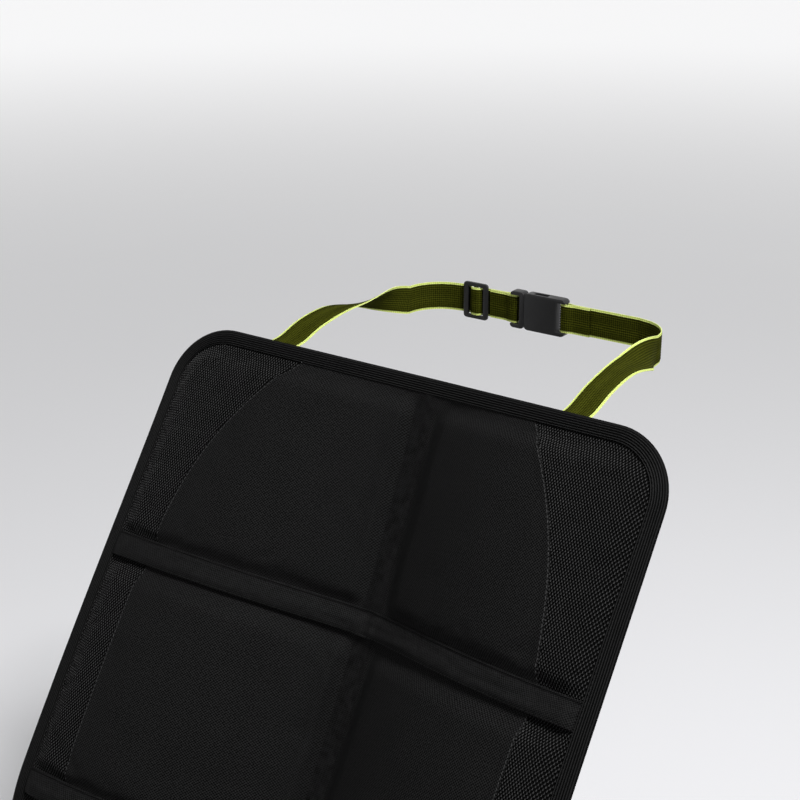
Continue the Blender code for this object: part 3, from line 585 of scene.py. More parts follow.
def makePanel(row, side, heights, spec):
    hemColumns = spec["hemColumns"]
    hemFlat = spec["hemFlat"] * spec["hemWidth"]
    inner = round((mat["seamMiddle"] - channelHalf - hemColumns[0]) / spec["cell"])
    lines = round((row["end"] - row["start"]) / spec["cell"])
    columns = 1 + inner + len(hemColumns) - 1

    def uAt(index, s):
        seam = seamAt(s) - spec["seamGap"]
        body = channelHalf + (index - 1) / inner * (seam - hemColumns[0] - channelHalf)
        hem = seam - np.interp(index - 1 - inner, range(len(hemColumns)), hemColumns)
        return np.where(index < 1, spec["underTrim"], np.where(index <= 1 + inner, body, hem))

    def place(across, down):
        index = np.round((across if side > 0 else 1 - across) * columns)
        knots = [row["start"] - mat["tuck"], row["start"], row["end"], row["end"] + mat["tuck"]]
        s = np.interp(down * (lines + 2), [0, 1, lines + 1, lines + 2], knots)
        u = uAt(index, s)
        toSeam = seamAt(s) - spec["seamGap"] - u
        shown = smoothStep(np.minimum(s - row["start"], row["end"] - s) / spec["endFade"])
        hem = spec["hem"] * (1 - smoothStep((toSeam - hemFlat) / (spec["hemWidth"] - hemFlat)))
        rolled = np.sqrt(np.clip(1 - (1 - np.clip(toSeam / spec["edgeRound"], 0, 1)) ** 2, 0, 1))
        drop = (1 - rolled) * (spec["hem"] + spec["edgeDrop"])
        return u * side, -s, fieldHeight(u, s, row, heights) + shown * (hem - drop)

    panel = flatGrid("panel_" + row["name"] + sideName(side), columns, lines + 2, place)
    closeDown(panel, lambda u, s: np.full(len(u), spec["base"]))
    layOnForm(panel)
    shadeSmooth(panel)
    replaced = ["foam_" + row["name"] + sideName(side), "centre_cover"]
    setPiece(panel, replaced, [smoothCloth])
    return panel


# mesh panels: a honeycomb of cells with real pits, cut to the arced seam and the edge tape
meshSpec = {
    "pitch": meshPitch, "strand": 0.3 * mm, "pit": 0.6 * mm, "base": 1.35 * mm,
    "underTape": 3 * mm, "seamGap": 0.12 * mm, "smallest": 0.55, "apart": 1.0,
}


# Flat six-sided cells, edge to edge, over a rectangle
def honeycomb(name, low, high, pitch):
    radius = pitch / math.sqrt(3)
    acrossCount = math.ceil((high[0] - low[0]) / pitch) + 2
    downCount = math.ceil((high[1] - low[1]) / (3 * radius)) + 1
    deselectAll()
    bpy.ops.mesh.primitive_circle_add(vertices=6, radius=radius, fill_type="NGON",
                                      location=(low[0], low[1], 0))
    cells = bpy.context.object
    cells.name = name
    bpy.ops.object.transform_apply(location=True, rotation=False, scale=False)
    steps = ((2, (pitch / 2, 1.5 * radius, 0)), (acrossCount, (pitch, 0, 0)),
             (downCount, (0, 3 * radius, 0)))
    for count, step in steps:
        repeat = cells.modifiers.new("repeat", "ARRAY")
        repeat.count = count
        repeat.use_relative_offset = False
        repeat.use_constant_offset = True
        repeat.constant_offset_displace = step
        bpy.ops.object.modifier_apply(modifier=repeat.name)
    editAll(cells, "VERT")
    bpy.ops.mesh.remove_doubles(threshold=0.05 * mm)
    bpy.ops.object.mode_set(mode="OBJECT")
    return cells


def faceValues(piece, kind, size):
    found = np.empty(len(piece.data.polygons) * size)
    piece.data.polygons.foreach_get(kind, found)
    return found.reshape(-1, size) if size > 1 else found


def selectFaces(piece, chosen):
    pick(piece)
    bpy.ops.object.mode_set(mode="EDIT")
    bpy.ops.mesh.select_mode(type="FACE")
    bpy.ops.mesh.select_all(action="DESELECT")
    bpy.ops.object.mode_set(mode="OBJECT")
    piece.data.polygons.foreach_set("select", np.asarray(chosen, bool))
    bpy.ops.object.mode_set(mode="EDIT")


# Insets each whole cell of the upper side. The sunk floor gets the dark hole finish: the layer under
# the mesh, darkened as painted shade in the holes
def sinkPits(cells, spec):
    centres = faceValues(cells, "center", 3)
    normals = faceValues(cells, "normal", 3)
    areas = faceValues(cells, "area", 1)
    fullArea = spec["pitch"] ** 2 * math.sqrt(3) / 2
    upper = (centres[:, 2] > -spec["apart"] / 2) & (normals[:, 2] > 0.9)
    selectFaces(cells, upper & (areas > spec["smallest"] * fullArea))
    bpy.ops.mesh.inset(thickness=spec["strand"], depth=-spec["pit"], use_individual=True)
    bpy.ops.object.mode_set(mode="OBJECT")
    inPit = np.empty(len(cells.data.polygons), bool)
    cells.data.polygons.foreach_get("select", inPit)
    cells.data.materials.append(strandYarnSheen)
    cells.data.materials.append(meshHoleShade)
    cells.data.polygons.foreach_set("material_index", inPit.astype(int))


def makeMeshPanel(row, side, heights, spec):
    tuck = mat["tuck"]
    top = row["start"] - tuck
    bottom = row["end"] + tuck
    outerInset = fieldEdge - spec["underTape"]
    outerMost = halfWidth - outerInset
    innerMost = float(min(seamAt(np.array([top, bottom]))))
    low = (innerMost - spec["pitch"], -bottom - spec["pitch"])
    high = (outerMost + spec["pitch"], -top + spec["pitch"])
    if side < 0:
        low, high = (-high[0], low[1]), (-low[0], high[1])
    doubleRow = math.sqrt(3) * spec["pitch"]
    low = (math.floor(low[0] / spec["pitch"]) * spec["pitch"],
           math.floor(low[1] / doubleRow) * doubleRow)
    cells = honeycomb("mesh_" + row["name"] + sideName(side), low, high, spec["pitch"])

    def within(u, s):
        inside = (s > top) & (s < bottom) & (np.abs(u) > seamAt(s) + spec["seamGap"])
        return inside & (np.abs(u) < edgeAt(s, outerInset)) & (u * side > 0)

    centres = faceValues(cells, "center", 3)
    selectFaces(cells, ~within(centres[:, 0], -centres[:, 1]))
    bpy.ops.mesh.delete(type="FACE")
    bpy.ops.object.mode_set(mode="OBJECT")
    places = points(cells)
    s = np.clip(-places[:, 1], top, bottom)
    u = np.clip(places[:, 0] * side, seamAt(s) + spec["seamGap"], edgeAt(s, outerInset))
    setPoints(cells, np.stack([u * side, -s, places[:, 2]], axis=-1))
    closeDown(cells, lambda u, s: np.full(len(u), -spec["apart"]))
    sinkPits(cells, spec)
    places = points(cells)
    upper = places[:, 2] > -spec["apart"] / 2
    over = fieldHeight(places[:, 0], -places[:, 1], row, heights) + places[:, 2]
    places[:, 2] = np.where(upper, over, spec["base"])
    setPoints(cells, places)
    layOnForm(cells)
    shadeSmooth(cells, 80)
    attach(cells, "root")
    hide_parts("side_mesh" + sideName(side), "foam_" + row["name"] + sideName(side))
    return cells


quilted = {}
for number, row in enumerate(rows):
    for side in (-1, 1):
        heights = quiltField(row, side, quiltSpec, number * 2 + side)
        quilted[row["name"], side] = heights
        makePanel(row, side, heights, panelSpec)
        makeMeshPanel(row, side, heights, meshSpec)
    print("row quilted:", row["name"])


# fold bands: strips sewn across the mat, crisp along the top and puffed over the row below
bandSizes = {
    "cell": 2.9 * mm, "lines": 19, "low": 2.6 * mm, "thick": 0.9 * mm, "puff": 4.8 * mm,
    "full": 0.75, "drop": 0.3, "lip": 0.7 * mm, "lipAt": 0.05, "lipWide": 0.05,
    "groove": 0.9 * mm, "grooveAt": 0.13, "grooveWide": 0.035,
    "overStrip": 1.2 * mm, "stripHalf": 9 * mm, "stripSlope": 3 * mm,
    "pinch": 2.6 * mm, "pinchReach": 6 * mm,
    "wrinkle": 1.5 * mm, "longWrinkles": 14, "shortWrinkles": 40, "shortShare": 0.6,
    "wrinkleFade": 0.1, "endPuff": 0.25, "endFall": 9 * mm, "endStep": 0.2 * mm, "overTape": 0.4 * mm,
    "tucked": 3 * mm, "tuckFrom": 0.3 * mm, "tuckLow": 1.5 * mm, "underTape": 2.65 * mm,
}
bandNames = ["fold_band_upper", "fold_band_lower", "crease_band", "seat_band", "front_band"]


# What the band lies on: the pad, and the channel strip in the middle
def bandLow(u, spec):
    beside = smoothStep((np.abs(u) - spec["stripHalf"]) / spec["stripSlope"])
    return spec["low"] + spec["overStrip"] * (1 - beside)


# How full the band is towards its ends, where the tape holds it
def bandEnd(u, s, spec):
    return smoothStep((edgeAt(s, fieldEdge) - np.abs(u)) / spec["endFall"])


# The band's height over what it lies on: lip, stitch groove, then a full rolled edge
def bandTop(u, share, ends, spec):
    rise = smoothStep(share / spec["full"])
    drop = spec["drop"] * np.clip((share - spec["full"]) / (1 - spec["full"]), 0, 1) ** 2
    lip = spec["lip"] * np.exp(-((share - spec["lipAt"]) / spec["lipWide"]) ** 2)
    groove = spec["groove"] * np.exp(-((share - spec["grooveAt"]) / spec["grooveWide"]) ** 2)
    pinch = spec["pinch"] * np.exp(-(u / spec["pinchReach"]) ** 2) * np.sin(np.pi * share) ** 0.5
    puff = spec["puff"] * (rise - drop) * (spec["endPuff"] + (1 - spec["endPuff"]) * ends)
    return spec["thick"] + puff + lip - groove - pinch


def makeBand(name, start, end, seed, spec):
    inner = round(2 * (halfWidth - fieldEdge) / spec["cell"])
    columns = inner + 4

    def place(across, down):
        s = start + down * (end - start)
        index = np.round(across * columns) - 2
        beyond = np.maximum(np.abs(index * 2 / inner - 1) - 1, 0) * inner / 2
        reach = edgeAt(s, fieldEdge) - spec["overTape"]
        u = np.clip(index * 2 / inner - 1, -1, 1)
        u = u * (reach + np.interp(beyond, (0, 1, 2), (0, spec["endStep"], spec["tucked"])))
        share = np.clip(down, 0, 1)
        held = np.sin(np.pi * share) * smoothStep((share - spec["grooveAt"]) / spec["wrinkleFade"])
        wave = ripple(u * spec["longWrinkles"] + share, share * 3, seed)
        fine = ripple(u * spec["shortWrinkles"] - 2 * share, share * 4, seed + 9)
        wrinkle = (wave + spec["shortShare"] * fine) * spec["wrinkle"] * held
        height = bandLow(u, spec) + bandTop(u, share, bandEnd(u, s, spec), spec) + wrinkle
        return u, -s, np.where(beyond > 0.5, spec["underTape"], height)

    def low(u, s):
        tucked = np.abs(u) > edgeAt(s, fieldEdge) - spec["tuckFrom"]
        return np.where(tucked, spec["tuckLow"], bandLow(u, spec))

    band = flatGrid("folded_" + name, columns, spec["lines"], place)
    closeDown(band, low)
    layOnForm(band)
    shadeSmooth(band)
    return setPiece(band, [name, "centre_cover"], [bandCloth])


bandEnds = [(upper["end"], lower["start"]) for upper, lower in zip(rows, rows[1:])]
for number, (name, (start, end)) in enumerate(zip(bandNames, bandEnds)):
    makeBand(name, start, end, number * 3.7, bandSizes)
print("fold bands ready")


# centre strip: the sunk channel down the middle, a little slack; its cloth is darkened as painted shade
stripSpec = {
    "half": 8.9 * mm, "columns": 10, "cell": 2.8 * mm, "low": 2.5 * mm, "thick": 0.3 * mm,
    "wrinkle": 0.9 * mm, "acrossRipples": 120, "downRipples": 30, "loose": 0.4,
    "tucked": 2.4 * mm, "underTape": 2.65 * mm, "tuckLow": 2.2 * mm,
}


def makeStrip(spec):
    start = fieldEdge - spec["tucked"]
    end = matLength - start
    lines = round((end - start) / spec["cell"])

    def place(across, down):
        s = start + down * (end - start)
        u = (across * 2 - 1) * spec["half"]
        held = np.cos(np.pi / 2 * np.clip(u / spec["half"], -1, 1)) ** 0.5
        wave = ripple(u * spec["acrossRipples"], s * spec["downRipples"], 4.2)
        z = spec["low"] + spec["thick"] + (wave + spec["loose"]) * spec["wrinkle"] * held
        return u, -s, np.where(fromEnd(s) < fieldEdge, spec["underTape"], z)

    strip = flatGrid("channel_strip", spec["columns"], lines, place)
    closeDown(strip, lambda u, s: np.where(fromEnd(s) < fieldEdge, spec["tuckLow"], spec["low"]))
    layOnForm(strip)
    shadeSmooth(strip)
    return setPiece(strip, ["centre_strip"], [channelShadedCloth])


makeStrip(stripSpec)


# edge binding: ribbed tape folded round the whole outline
tapeSizes = {
    "step": 5.2 * mm, "rib": 0.8 * mm, "thick": 1.2 * mm, "slope": 1.1 * mm,
    "innerLow": 1.1 * mm, "innerTop": 2.75 * mm,
    "pucker": 0.35 * mm, "puckersPerMetre": 60, "puckerFrom": 2.7 * mm,
}


# u and s at a distance along the outline, clockwise from the middle of the top edge
def outlineAt(distance, inset):
    corner = mat["corner"]
    flat = halfWidth - corner
    straight = matLength - 2 * corner
    quarter = corner * math.pi / 2
    legs = [flat, quarter, straight, quarter, 2 * flat, quarter, straight, quarter, flat]
    total = sum(legs)
    distance = np.mod(distance, total)
    u = np.zeros_like(distance)
    s = np.zeros_like(distance)
    begun = 0.0
    place = np.array([0.0, 0.0])
    heading = 0.0
    for number, leg in enumerate(legs):
        here = (distance >= begun) & (distance <= begun + leg)
        run = distance[here] - begun
        ahead = np.array([math.cos(heading), math.sin(heading)])
        inward = np.array([-math.sin(heading), math.cos(heading)])
        if number % 2:
            angle = heading + run / corner
            centre = place + inward * corner
            reach = corner - inset[here]
            u[here] = centre[0] + reach * np.sin(angle)
            s[here] = centre[1] - reach * np.cos(angle)
            heading += math.pi / 2
            place = centre + corner * np.array([math.sin(heading), -math.cos(heading)])
        else:
            u[here] = place[0] + ahead[0] * run + inward[0] * inset[here]
            s[here] = place[1] + ahead[1] * run + inward[1] * inset[here]
            place = place + ahead * leg
        begun += leg
    return u, s, total


outlineLength = outlineAt(np.zeros(1), np.zeros(1))[2]


# Inset and height round the tape: ribbed over the top, round the edge, plain beneath
def tapeSection(spec):
    lap = mat["tapeLap"]
    top = mat["tapeTop"]
    turn = mat["tapeRound"]
    section = []
    count = mat["tapeRibs"] * 4
    for step in range(count + 1):
        share = step / count
        inset = lap - (lap - turn) * share
        rib = spec["rib"] * (math.cos(2 * math.pi * mat["tapeRibs"] * share) * 0.5 - 0.5)
        section.append((inset, top + rib - spec["slope"] * share**2))
    top -= spec["slope"]
    for step in range(1, 6):
        angle = math.pi / 2 * step / 5
        section.append((turn - turn * math.sin(angle), top - turn + turn * math.cos(angle)))
    for step in range(0, 4):
        angle = math.pi / 2 * step / 3
        section.append((turn - turn * math.cos(angle), turn - turn * math.sin(angle)))
    section += [((lap + turn) / 2, 0), (lap, 0), (lap, spec["innerLow"])]
    section += [(spec["thick"], spec["innerLow"]), (spec["thick"], spec["innerTop"])]
    return section + [(lap, spec["innerTop"])]


def makeBinding(spec):
    section = np.array(tapeSection(spec))
    stations = round(outlineLength / spec["step"])
    count = len(section)

    def place(across, down):
        index = np.round(down * count).astype(int) % count
        inset = section[index, 0]
        height = section[index, 1]
        distance = (1 - across) * outlineLength
        u, s, total = outlineAt(distance, inset)
        wave = ripple(u * spec["puckersPerMetre"], s * spec["puckersPerMetre"], 2.5)
        height = height + wave * spec["pucker"] * (height > spec["puckerFrom"])
        return u, -s, height

    tape = flatGrid("binding_tape", stations, count, place)
    # The UV across the tape follows the inset, half a rib out of step, so the tape cloth's stripes fall
    # dark in the rib grooves and light on the rib tops: painted shade and painted highlight
    layer = tape.data.uv_layers.active
    shares = np.empty(len(tape.data.loops) * 2)
    layer.data.foreach_get("uv", shares)
    shares = shares.reshape(-1, 2)
    index = np.round((1 - shares[:, 1]) * count).astype(int)
    around = np.append(section[:, 0], section[0, 0])[index] - mat["tapeLap"] + ribPitch / 2
    layer.data.foreach_set("uv", np.stack([shares[:, 0] * outlineLength, around], axis=-1).ravel())
    editAll(tape, "VERT")
    bpy.ops.mesh.remove_doubles(threshold=0.01 * mm)
    bpy.ops.mesh.normals_make_consistent(inside=False)
    bpy.ops.object.mode_set(mode="OBJECT")
    layOnForm(tape, marked=True)
    shadeSmooth(tape, 60)
    return setPiece(tape, ["edge_binding"], [tapeCloth])


makeBinding(tapeSizes)
print("strip and binding ready")

# backing: the grip sheet, with moulded dots on its underside
backingSpec = {
    "cell": 10 * mm, "thick": 1.1 * mm, "dotPitch": 15 * mm, "dot": 1.6 * mm, "dotTip": 0.55,
    "dotRise": 0.55 * mm, "dotSunk": 0.02 * mm, "dotFromTape": 3 * mm,
    "strapHalf": 17 * mm, "strapLow": 44 * mm,
}


def makeBacking(spec):
    columns = round(2 * halfWidth / spec["cell"])
    lines = round(matLength / spec["cell"])
    start = fieldEdge

    def place(across, down):
        s = start + down * (matLength - 2 * start)
        u = (across * 2 - 1) * edgeAt(s, start)
        return u, -s, np.full(len(u), spec["thick"])

    sheet = flatGrid("grip_backing", columns, lines, place)
    closeDown(sheet, lambda u, s: np.zeros(len(u)))
    layOnForm(sheet)
    shadeSmooth(sheet)
    setPiece(sheet, ["backing"], [gripCloth])
    return sheet


# One joined mesh of copies of a small one, each turned about z and moved
def repeatedMesh(name, bit, places, turns):
    base = points(bit)
    faces = [list(face.vertices) for face in bit.data.polygons]
    bpy.data.objects.remove(bit, do_unlink=True)
    cosine = np.cos(turns)[:, None]
    sine = np.sin(turns)[:, None]
    x = base[None, :, 0] * cosine - base[None, :, 1] * sine + places[:, None, 0]
    y = base[None, :, 0] * sine + base[None, :, 1] * cosine + places[:, None, 1]
    z = base[None, :, 2] + places[:, None, 2]
    everyPoint = np.stack([x, y, z], axis=-1).reshape(-1, 3)
    everyFace = [[index + copy * len(base) for index in face]
                 for copy in range(len(places)) for face in faces]
    mesh = bpy.data.meshes.new(name)
    mesh.from_pydata(everyPoint, [], everyFace)
    piece = bpy.data.objects.new(name, mesh)
    bpy.context.scene.collection.objects.link(piece)
    return piece


def makeDots(spec):
    deselectAll()
    bpy.ops.mesh.primitive_cone_add(vertices=6, radius1=spec["dotTip"] * spec["dot"],
                                    radius2=spec["dot"], depth=spec["dotRise"], location=(0, 0, 0))
    dot = bpy.context.object
    places = []
    count = int(matLength / spec["dotPitch"])
    half = int(halfWidth / spec["dotPitch"])
    for line in range(count + 1):
        for column in range(-half, half + 1):
            u = (column + 0.5 * (line % 2)) * spec["dotPitch"]
            s = (line + 0.5) * spec["dotPitch"]
            besideStrap = abs(abs(u) - mat["strapPlace"]) > spec["strapHalf"] or s > spec["strapLow"]
            if besideStrap and s < matLength and insetOf(u, s) > fieldEdge + spec["dotFromTape"]:
                places.append((u, -s, spec["dotSunk"] - spec["dotRise"] / 2))
    dots = repeatedMesh("grip_dots", dot, np.array(places), np.zeros(len(places)))
    layOnForm(dots)
    shadeSmooth(dots, 40)
    return setPiece(dots, ["backing"], [gripRubber])


backing = makeBacking(backingSpec)
dots = makeDots(backingSpec)
print("backing ready")


# stitching: short raised threads along every seam
stitchSpec = {
    "long": 2.9 * mm, "pitch": 3.9 * mm, "wide": 0.55 * mm, "high": 0.42 * mm, "endGap": 2 * mm,
}
# Seam stitches are long and nearly joined, so that the painted highlight line is almost unbroken
seamStitch = dict(stitchSpec, long=3.5 * mm, fromSeam=1.1 * mm, lift=0.04 * mm)
bandStitch = dict(stitchSpec, lowerAt=0.95, lift=0.05 * mm)
tapeStitch = dict(stitchSpec, inset=10.6 * mm, frontLift=0.06 * mm, rearDrop=0.1 * mm)


# A row of stitches along a line drawn on the pattern, at the heights given
def stitchAlong(name, u, s, height, spec, finish=None):
    line = np.stack([u, -s, height], axis=-1)
    lengths = np.linalg.norm(np.diff(line[:, :2], axis=0), axis=1)
    along = np.concatenate([[0], np.cumsum(lengths)])
    count = int(along[-1] / spec["pitch"])
    middles = (np.arange(count) + 0.5) * along[-1] / count
    places = np.stack([np.interp(middles, along, line[:, axis]) for axis in range(3)], axis=-1)
    onward = middles + 0.4 * mm
    ahead = np.stack([np.interp(onward, along, line[:, axis]) for axis in range(3)], axis=-1)
    turns = np.arctan2(ahead[:, 1] - places[:, 1], ahead[:, 0] - places[:, 0])
    deselectAll()
    bpy.ops.mesh.primitive_uv_sphere_add(segments=6, ring_count=3, radius=0.5, location=(0, 0, 0),
                                         rotation=(0, math.pi / 2, 0))
    bit = bpy.context.object
    bit.scale = (spec["high"], spec["wide"], spec["long"])
    bpy.ops.object.transform_apply(location=False, rotation=True, scale=True)
    row = repeatedMesh(name, bit, places, turns)
    layOnForm(row)
    shadeSmooth(row, 80)
    return setPiece(row, None, [finish or blackThread])


def stitchSeams():
    for row in rows:
        s = np.linspace(row["start"] + seamStitch["endGap"], row["end"] - seamStitch["endGap"], 120)
        for side in (-1, 1):
            u = side * (seamAt(s) - seamStitch["fromSeam"])
            heights = fieldHeight(u, s, row, quilted[row["name"], side])
            stitchAlong("seam_stitches_" + row["name"] + sideName(side), u, s,
                        heights + panelSpec["hem"] + seamStitch["lift"], seamStitch, seamHighlightThread)


def stitchBands():
    reach = halfWidth - fieldEdge - bandStitch["endGap"]
    u = np.linspace(-reach, reach, 300)
    for name, (start, end) in zip(bandNames, bandEnds):
        for share, label in ((bandSizes["grooveAt"], "_upper"), (bandStitch["lowerAt"], "_lower")):
            s = np.full(len(u), start + share * (end - start))
            height = bandLow(u, bandSizes) + bandTop(u, share, bandEnd(u, s, bandSizes), bandSizes)
            stitchAlong("stitches_" + name + label, u, s, height + bandStitch["lift"], bandStitch)


def stitchOutline():
    distance = np.linspace(0, outlineLength, 900)
    u, s, total = outlineAt(distance, np.full(len(distance), tapeStitch["inset"]))
    heights = {"front": mat["tapeTop"] + tapeStitch["frontLift"], "rear": -tapeStitch["rearDrop"]}
    for label, height in heights.items():
        stitchAlong("binding_stitches_" + label, u, s, np.full(len(u), height), tapeStitch)


stitchSeams()
stitchBands()
stitchOutline()
print("stitching ready")


# straps: webbing along the path that part.py gives them
strapSpec = {
    "wide": 26 * mm, "thick": 1.4 * mm, "place": mat["strapPlace"], "sewn": 36 * mm,
    "reach": 198 * mm,
    "halfApart": 125 * mm, "bend": 35 * mm, "drop": 1 * mm, "rise": 11.5 * mm, "inward": 3,
    "twist": 2.5,
    "arch": ((0.1, -0.05), (0.25, 0.62), (0.45, 1.0), (0.65, 0.8), (0.85, 0.47)),
    "leavesAt": 3 * mm, "leavingGap": 1.6 * mm, "sewnGap": 0.6 * mm, "foldBack": 16 * mm,
    "tackSide": 22 * mm, "tackFromEnd": 4 * mm,
    "gap": 0.4 * mm, "step": 1.5 * mm, "ribs": 11, "rib": 0.16 * mm, "selvedge": 1.5 * mm,
    "edgeThin": 0.45, "weave": 0.07,
}
hardware = {
    "socketLong": 42 * mm, "plugHead": 14 * mm, "barWide": 3.5 * mm, "barThick": 3 * mm,
    "slot": 6 * mm, "gap": 0.4 * mm, "fromCorner": 2 * mm, "sliderThick": 2.4 * mm,
    "sliderBar": 4 * mm, "sliderRim": 5 * mm, "weaveGap": 0.9 * mm, "runOut": 2 * mm,
    "leadIn": 6 * mm,
}
topEdge = Vector(underside(np.array(strapSpec["place"]), np.array(0.0)))
rearLine = topEdge.y + strapSpec["reach"]
strapLevel = topEdge.z - strapSpec["drop"]
layerOffset = (strapSpec["thick"] + strapSpec["gap"]) / 2


# A smooth curve through points, as a list of places
def through(knots, steps):
    ends = [2 * knots[0] - knots[1]] + knots + [2 * knots[-1] - knots[-2]]
    curve = []
    for a, b, c, d in zip(ends, ends[1:], ends[2:], ends[3:]):
        for step in range(steps):
            weights = curveWeights(np.array(step / steps))
            curve.append(a * weights[0] + b * weights[1] + c * weights[2] + d * weights[3])
    return curve + [knots[-1]]


# From the sewn end to the straight run at the rear, for the right strap
def strapLead(spec):
    behind = -spec["sewnGap"] - spec["thick"] / 2

    def beneath(s, height):
        return Vector(onForm(spec["place"], s, height))

    knots = [beneath(spec["sewn"] / part, behind) for part in (1, 2, 4)]
    knots.append(beneath(spec["leavesAt"], behind - spec["leavingGap"]))
    reach = spec["reach"] - spec["bend"]
    for share, height in spec["arch"]:
        x = spec["place"] + (spec["halfApart"] - spec["place"]) * share ** spec["inward"]
        knots.append(Vector((x, topEdge.y + reach * share, strapLevel + spec["rise"] * height)))
    corner = Vector((spec["halfApart"], topEdge.y + reach, strapLevel))
    curve = through(knots + [corner], 6)
    centre = corner - Vector((spec["bend"], 0, 0))
    for step in range(1, 13):
        angle = math.pi / 2 * step / 12
        curve.append(centre + spec["bend"] * Vector((math.cos(angle), math.sin(angle), 0)))
    return curve


# Along to the bar, round it, and back to lie on itself
def barLoop(barX, mirror, spec):
    layer = layerOffset
    roundBar = hardware["barThick"] / 2 + hardware["gap"] + spec["thick"] / 2
    past = hardware["barWide"] / 2 + hardware["gap"] + spec["thick"] / 2
    lead = past + hardware["leadIn"]
    outer = [(barX + lead, layer), (barX + past, roundBar), (barX, roundBar)]
    corner = barX - hardware["barWide"] / 2
    for step in range(0, 9):
        angle = math.pi * step / 8
        outer.append((corner - roundBar * math.sin(angle), roundBar * math.cos(angle)))
    outer += [(barX, -roundBar), (barX + past, -roundBar), (barX + lead, -layer)]
    outer.append((barX + lead + spec["foldBack"], -layer))
    return [Vector((mirror * x, rearLine + y, strapLevel)) for x, y in outer]


def sliderWeave(spec):
    front = hardware["sliderThick"] / 2 + hardware["gap"] + spec["thick"] / 2
    near = hardware["sliderBar"] / 2 + hardware["weaveGap"]
    far = hardware["sliderBar"] / 2 + hardware["slot"] - hardware["weaveGap"]
    end = far + hardware["sliderRim"] + hardware["runOut"]
    steps = [(end, front), (far, front), (near, -front), (-near, -front), (-far, front), (-end, front)]
    middle = rearLine + layerOffset - front
    sliderPlace = spec["halfApart"] - spec["bend"] - end - hardware["fromCorner"]
    return [Vector((-sliderPlace - x, middle + y, strapLevel)) for x, y in steps]


# The same line with its points a step apart
def evenly(line, step):
    line = np.array([list(point) for point in line])
    keep = np.concatenate([[True], np.linalg.norm(np.diff(line, axis=0), axis=1) > 0.01 * mm])
    line = line[keep]
    along = np.concatenate([[0], np.cumsum(np.linalg.norm(np.diff(line, axis=0), axis=1))])
    count = round(along[-1] / step)
    at = np.linspace(0, along[-1], count + 1)
    return np.stack([np.interp(at, along, line[:, axis]) for axis in range(3)], axis=-1), at


# Directions along, across and through the webbing at each point of its line
def strapFrames(line, side, spec):
    middle = spec["sewn"] / 2
    slope = onForm(spec["place"] + 1 * mm, middle, 0) - onForm(spec["place"], middle, 0)
    flat = np.array([side * slope[0], slope[1], slope[2]])
    flat /= np.linalg.norm(flat)
    ahead = np.gradient(line, axis=0)
    ahead /= np.linalg.norm(ahead, axis=1, keepdims=True)
    gone = np.clip((line[:, 1] - topEdge.y) / (spec["reach"] - spec["bend"]), 0, None)
    turn = np.pi / 2 * smoothStep(gone ** spec["twist"])[:, None]
    wide = flat * np.cos(turn) - np.array([0, 0, 1]) * np.sin(turn)
    wide -= ahead * np.sum(wide * ahead, axis=1, keepdims=True)
    wide /= np.linalg.norm(wide, axis=1, keepdims=True)
    return ahead, wide, np.cross(ahead, wide)


# Distances across and through the webbing, round its ribbed section
def webSection(spec):
    count = spec["ribs"] * 4
    half = spec["wide"] / 2
    top = []
    for step in range(count + 1):
        share = step / count
        v = -half + 2 * half * share
        rib = spec["rib"] * math.cos(2 * math.pi * spec["ribs"] * share)
        edge = min(min(share, 1 - share) * count / 2, 1)
        full = spec["edgeThin"] + (1 - spec["edgeThin"]) * edge
        top.append((v, (spec["thick"] / 2 - spec["rib"] + rib) * full))
    return np.array(top + [(v, -w) for v, w in reversed(top)])


# The weave's pattern along and across the webbing, and lime along its selvedges
def markWebbing(strap, line, at, wide, spec):
    places = points(strap)
    corners = np.empty(len(strap.data.loops), int)
    strap.data.loops.foreach_get("vertex_index", corners)
    nearest = np.arange(len(places)) % len(line)
    v = np.sum((places - line[nearest]) * wide[nearest], axis=1)
    layer = strap.data.uv_layers.active
    layer.data.foreach_set("uv", np.stack([v[corners], at[nearest][corners]], axis=-1).ravel())
    centres = np.array([np.mean(np.abs(v[list(face.vertices)])) for face in strap.data.polygons])
    strap.data.materials.append(oliveWeb)
    strap.data.materials.append(limeWeb)
    lime = centres > spec["wide"] / 2 - spec["selvedge"]
    strap.data.polygons.foreach_set("material_index", lime.astype(int))


# Joins the webbing round its section and caps both cut ends in olive
def closeWebbing(strap):
    editAll(strap, "VERT")
    bpy.ops.mesh.remove_doubles(threshold=0.01 * mm)
    bpy.ops.mesh.select_all(action="DESELECT")
    bpy.ops.mesh.select_mode(type="EDGE")
    bpy.ops.mesh.select_non_manifold(extend=False, use_wire=False, use_multi_face=False,
                                     use_non_contiguous=False, use_verts=False)
    bpy.ops.mesh.edge_face_add()
    strap.active_material_index = 0
    bpy.ops.object.material_slot_assign()
    bpy.ops.mesh.select_all(action="SELECT")
    bpy.ops.mesh.normals_make_consistent(inside=False)
    bpy.ops.object.mode_set(mode="OBJECT")


def makeStrap(name, line, side, spec, replaced):
    line, at = evenly(line, spec["step"])
    ahead, wide, thick = strapFrames(line, side, spec)
    section = webSection(spec)
    count = len(section)
    stations = len(line) - 1

    def place(across, down):
        index = np.round(across * stations).astype(int)
        corner = np.round(down * count).astype(int) % count
        v = section[corner, 0]
        w = section[corner, 1] * (1 + spec["weave"] * np.where((index + corner) % 2, 1, -1))
        found = line[index] + wide[index] * v[:, None] + thick[index] * w[:, None]
        return found[:, 0], found[:, 1], found[:, 2]

    strap = flatGrid(name, stations, count, place)
    markWebbing(strap, line, at, wide, spec)
    closeWebbing(strap)
    shadeSmooth(strap, 60)
    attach(strap, "root")
    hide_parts(replaced)
    return strap


